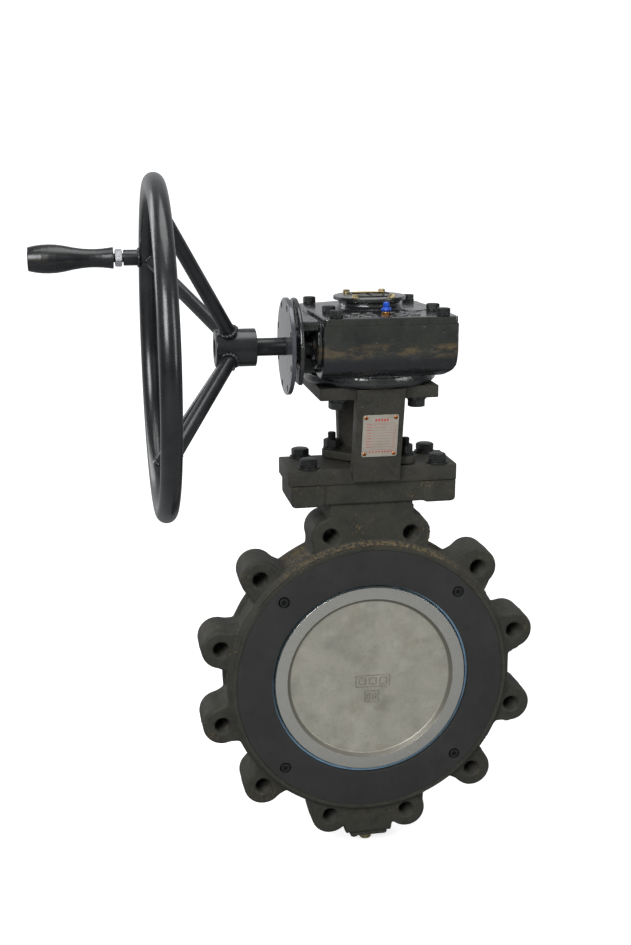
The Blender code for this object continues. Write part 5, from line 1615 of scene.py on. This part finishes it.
def worm_thread():
    """Helical tooth with 20 degree flanks, tapering off at both ends."""
    slope = math.tan(math.radians(20))
    half = WORM_LEAD / 4 - 0.175
    count = int(WORM_TURNS * WORM_STEPS)
    base_r, low_tip = WORM_ROOT_R - 0.8, WORM_ROOT_R - 0.6
    bm = bmesh.new()
    rings = []
    for i in range(count + 1):
        t = (i - count / 2) / WORM_STEPS
        a = TAU * t + math.pi / WORM_STEPS / 3
        fade = min(1.0, (count / 2 - abs(i - count / 2)) / (WORM_STEPS * 0.35))
        tip_r = low_tip + (WORM_PITCH_R + WORM_MODULE - low_tip) * max(fade, 0.12)
        base_w = half + slope * (WORM_PITCH_R - base_r)
        tip_w = half - slope * (tip_r - WORM_PITCH_R)
        rings.append([bm.verts.new((-r * math.sin(a), r * math.cos(a), -WORM_LEAD * t + w + STEM_X))
                      for r, w in ((base_r, -base_w), (tip_r, -tip_w), (tip_r, tip_w),
                                   (base_r, base_w))])
    skin(bm, rings)
    bmesh.ops.triangulate(bm, faces=bm.faces)
    return settle(bm)


worm = revolve([(0, 57), (8.5, 57, 0.4), (9.5, 56), (9.5, 31), (WORM_ROOT_R, 28),
                (WORM_ROOT_R, -28), (9.5, -31), (9.5, -176), (8.5, -177, 0.4), (0, -177)], 64)
fuse(worm, worm_thread())
finish(moved(worm, place("X", ON_WORM)), "worm_shaft_look", "shaft", "steel", "worm_shaft",
       body=WHEEL_BODY)

# ---------------------------------------------------------------- handwheel
WHEEL_X, WHEEL_R, TUBE_R, SPOKE_R = -237.4, 170.4, 10.65, 7.5
SPOKE_X = -160.5                      # where the spokes start inside the hub
HUB_X0, HUB_X1 = -178.9, span("handwheel")[1].x
PIN_X = -157


def build_wheel():
    """Tube rim set to the left of its hub, on four slanting spokes."""
    ob = torus(WHEEL_R, TUBE_R, 240, 40, place("X", (WHEEL_X, WORM_Y, WORM_Z)))
    fuse(ob, revolve([(0, HUB_X1), (20.0, HUB_X1, 1.2), (20.0, HUB_X0, 1.6), (0, HUB_X0)], 96,
                     "X", ON_WORM))
    for degrees in (30.0, 120.0, 210.0, 300.0):
        c, s = math.cos(math.radians(degrees)), math.sin(math.radians(degrees))
        root = Vector((SPOKE_X, WORM_Y + 12 * c, WORM_Z + 12 * s))
        tip = Vector((WHEEL_X, WORM_Y + (WHEEL_R - 3) * c, WORM_Z + (WHEEL_R - 3) * s))
        along = (tip - root).normalized()
        fuse(ob, rod(root, tip, SPOKE_R, 48),
             weld_bead(root + along * 11.0, (-0.35, c, s), 8.4, 2.1),
             weld_bead(tip - along * 8.2, along, 7.4, 1.4))
    # boss for the handle
    fuse(ob, revolve([(0, -232.0), (9.0, -232.0), (9.0, -265.0, 0.7), (0, -265.0)], 64, "X",
                     ON_HANDLE),
         weld_bead((-247.6, HANDLE_Y, HANDLE_Z), (1, 0, 0), 9.3, 1.8))
    cut(ob, cylinder(9.8, -120, -190, 64, "X", ON_WORM),
        rod((PIN_X, WORM_Y, WORM_Z - 30), (PIN_X, WORM_Y, WORM_Z + 30), 3.3, 32),
        rod((-246, HANDLE_Y, HANDLE_Z), (-272, HANDLE_Y, HANDLE_Z), 5.3, 32))
    finish(ob, "handwheel_look", "wheel", "wheel_paint", "handwheel", body=WHEEL_BODY, smooth=40)


build_wheel()
finish(revolve([(0, 19.0), (2.4, 19.0, 0.3), (3.0, 18.4), (3.0, -18.4), (2.4, -19.0, 0.3),
                (0, -19.0)], 40, "Z", (PIN_X, WORM_Y, WORM_Z)),
       "handwheel_pin_look", "steel", "steel", "handwheel_pin", body=WHEEL_BODY)

# ---------------------------------------------------------------- handle
spindle = revolve([(0, -247), (5.0, -247), (5.0, -367.0), (7.5, -367.0), (7.5, -369.2, 0.3),
                   (6.5, -370.0, 0.4), (0, -370.0)], 56, "X", ON_HANDLE)
cut(spindle, block((-373, HANDLE_Y - 7.6, HANDLE_Z - 0.7), (-368.6, HANDLE_Y + 7.6, HANDLE_Z + 0.7)))
finish(spindle, "handle_spindle_look", "black_oxide", "black_oxide", "handle_spindle",
       body=WHEEL_BODY)
handle_nut = hexagon(18.0, -274.5, -266.5, bottom=True, spin=0.2, bore=5.3)
finish(moved(handle_nut, place("X", ON_HANDLE)), "handle_nut_look", "zinc", "zinc", "handle_nut",
       body=WHEEL_BODY)
# (radius, x, corner radius), from the wheel side outwards and back through the bore
GRIP_PROFILE = [
    (11.6, -276.2), (12.15, -276.7), (12.0, -278.5), (11.5, -282.0, 2.0), (10.7, -289.0, 3.0),
    (10.35, -296.0, 3.0), (10.4, -303.0, 3.0), (11.0, -311.0, 3.5), (12.5, -321.0, 4.5),
    (14.6, -331.0, 4.5), (15.9, -340.0, 4.0), (16.25, -348.0, 3.5), (15.95, -356.0, 3.5),
    (15.0, -363.5, 3.0), (13.4, -370.6, 0.5), (12.7, -371.3, 0.4), (9.0, -371.3, 0.5),
    (9.0, -366.6), (5.3, -366.6), (5.3, -276.2)]
finish(revolve(GRIP_PROFILE, 96, "X", ON_HANDLE, corner_steps=8),
       "handle_grip_look", "grip", "grip", "handle_grip", body=HANDLE_BODY, smooth=45)

# ---------------------------------------------------------------- inner CAD nodes that stay
KEPT_NODES = {"upper_bearing": "bronze", "lower_bearing": "bronze", "gear_sector": "bronze",
              "packing_set": "graphite", "stem_key": "steel", "worm_bearing_1": "steel",
              "worm_bearing_2": "steel"}
for node_name, material_name in KEPT_NODES.items():
    kept = frame["nodes"][node_name].data
    kept.materials.clear()
    kept.materials.append(MATERIALS[material_name])
    for polygon in kept.polygons:
        polygon.material_index = 0

for leftover in list(TEMP.objects):
    bpy.data.objects.remove(leftover, do_unlink=True)
bpy.data.collections.remove(TEMP)

# ---------------------------------------------------------------- stage (metres from here on)
box_low, box_high = cad_box


def ramp_inputs(value, span, out):
    return {"From Min": span[0], "From Max": span[1], "To Min": out[0], "To Max": out[1],
            "Value": value}


def floor_material():
    """Near white to the camera; to other rays dull grey, with a glow behind the valve."""
    material = bpy.data.materials.new("mat_floor")
    material.use_nodes = True
    tree = material.node_tree
    tree.nodes.clear()
    position = add_node(tree, "ShaderNodeNewGeometry").outputs["Position"]
    grey = add_node(tree, "ShaderNodeBsdfDiffuse", {"Color": (0.27, 0.275, 0.285, 1)})
    white = add_node(tree, "ShaderNodeBsdfDiffuse", {"Color": (0.80, 0.80, 0.80, 1)})
    # seen floor: brighter with distance from the origin
    distance = add_node(tree, "ShaderNodeVectorMath", {0: position}, operation="LENGTH")
    brightness = add_node(tree, "ShaderNodeMapRange", ramp_inputs(
        distance.outputs["Value"], span=(0.7, 3.2), out=(0.70, 1.05)))
    glow = add_node(tree, "ShaderNodeEmission", {"Color": (1, 1, 1, 1),
                                                 "Strength": brightness.outputs[0]})
    seen = add_node(tree, "ShaderNodeAddShader", {0: white.outputs[0], 1: glow.outputs[0]})
    # floor in reflections and bounce light: glows further back along Y
    axes = add_node(tree, "ShaderNodeSeparateXYZ", {0: position})
    behind = add_node(tree, "ShaderNodeMapRange", ramp_inputs(
        axes.outputs["Y"], span=(0.9, 2.6), out=(0.0, 0.44)))
    rear_glow = add_node(tree, "ShaderNodeEmission", {"Strength": behind.outputs[0]})
    unseen = add_node(tree, "ShaderNodeAddShader", {0: grey.outputs[0], 1: rear_glow.outputs[0]})
    rays = add_node(tree, "ShaderNodeLightPath")
    mix = add_node(tree, "ShaderNodeMixShader", {
        0: rays.outputs["Is Camera Ray"], 1: unseen.outputs[0], 2: seen.outputs[0]})
    add_node(tree, "ShaderNodeOutputMaterial", {0: mix.outputs[0]})
    return material


def build_floor():
    mesh = bpy.data.meshes.new("floor")
    bm = bmesh.new()
    bmesh.ops.create_grid(bm, x_segments=2, y_segments=2, size=60.0,
                          matrix=Matrix.Translation((0, 0, box_low[2] - 0.0005)))
    bm.to_mesh(mesh)
    bm.free()
    floor = bpy.data.objects.new("floor", mesh)
    scene.collection.objects.link(floor)
    mesh.materials.append(floor_material())


def build_world():
    """White to the camera; otherwise a fill light that is stronger towards the rear."""
    world = bpy.data.worlds.new("studio") if scene.world is None else scene.world
    scene.world = world
    world.use_nodes = True
    tree = world.node_tree
    tree.nodes.clear()
    seen = add_node(tree, "ShaderNodeBackground", {"Color": (1, 1, 1, 1), "Strength": 1.05})
    direction = add_node(tree, "ShaderNodeTexCoord").outputs["Generated"]
    axes = add_node(tree, "ShaderNodeSeparateXYZ", {0: direction})
    strength = add_node(tree, "ShaderNodeMapRange", ramp_inputs(
        axes.outputs["Y"], span=(0.35, 0.95), out=(0.20, 0.50)))
    fill = add_node(tree, "ShaderNodeBackground", {"Color": (0.95, 0.97, 1.0, 1),
                                                   "Strength": strength.outputs[0]})
    rays = add_node(tree, "ShaderNodeLightPath")
    mix = add_node(tree, "ShaderNodeMixShader", {
        0: rays.outputs["Is Camera Ray"], 1: fill.outputs[0], 2: seen.outputs[0]})
    add_node(tree, "ShaderNodeOutputWorld", {0: mix.outputs[0]})


def softbox(name, offset, size, watts):
    """Rectangular light at an offset from the valve's middle, aimed at that middle."""
    centre = Vector([(a + b) / 2 for a, b in zip(box_low, box_high)])
    light = bpy.data.lights.new(name, "AREA")
    light.shape = "RECTANGLE"
    light.size, light.size_y = size
    light.energy = watts
    ob = bpy.data.objects.new(name, light)
    ob.location = centre + Vector(offset)
    ob.rotation_euler = (centre - (centre + Vector(offset))).to_track_quat("-Z", "Y").to_euler()
    scene.collection.objects.link(ob)


def build_camera(azimuth, elevation, roll, distance, target, lens):
    """Camera on a sphere around target; azimuth 0 looks from the front, along +Y."""
    back = Vector((math.sin(azimuth) * math.cos(elevation),
                   -math.cos(azimuth) * math.cos(elevation), math.sin(elevation)))
    level = (-back).cross(Vector((0, 0, 1))).normalized()
    upright = level.cross(-back)
    right = level * math.cos(roll) + upright * math.sin(roll)
    up = -level * math.sin(roll) + upright * math.cos(roll)
    camera = bpy.data.cameras.new("camera")
    camera.sensor_width = 36.0
    camera.sensor_fit = "AUTO"
    camera.lens = lens
    camera.clip_start, camera.clip_end = 0.05, 60.0
    ob = bpy.data.objects.new("camera", camera)
    ob.matrix_world = Matrix(((right.x, up.x, back.x, 0), (right.y, up.y, back.y, 0),
                              (right.z, up.z, back.z, 0), (0, 0, 0, 1)))
    ob.location = target + back * distance
    scene.collection.objects.link(ob)
    scene.camera = ob


build_floor()
scene.view_settings.view_transform = "Standard"
build_world()
softbox("key", offset=(-1.3, -1.9, 1.3), size=(1.3, 1.3), watts=50.0)
softbox("right", offset=(1.9, -1.5, 0.8), size=(0.7, 1.6), watts=15.0)
softbox("top", offset=(0.1, -0.1, 2.2), size=(1.5, 1.5), watts=20.0)
softbox("rim", offset=(-1.6, 1.5, 1.0), size=(0.8, 1.6), watts=12.0)
build_camera(azimuth=math.radians(-10.42), elevation=math.radians(13.98),
             roll=math.radians(-0.12), distance=1.47323,
             target=DATUM + Vector((-59.8, 0.0, 245.0)) * MM, lens=49.1047619)
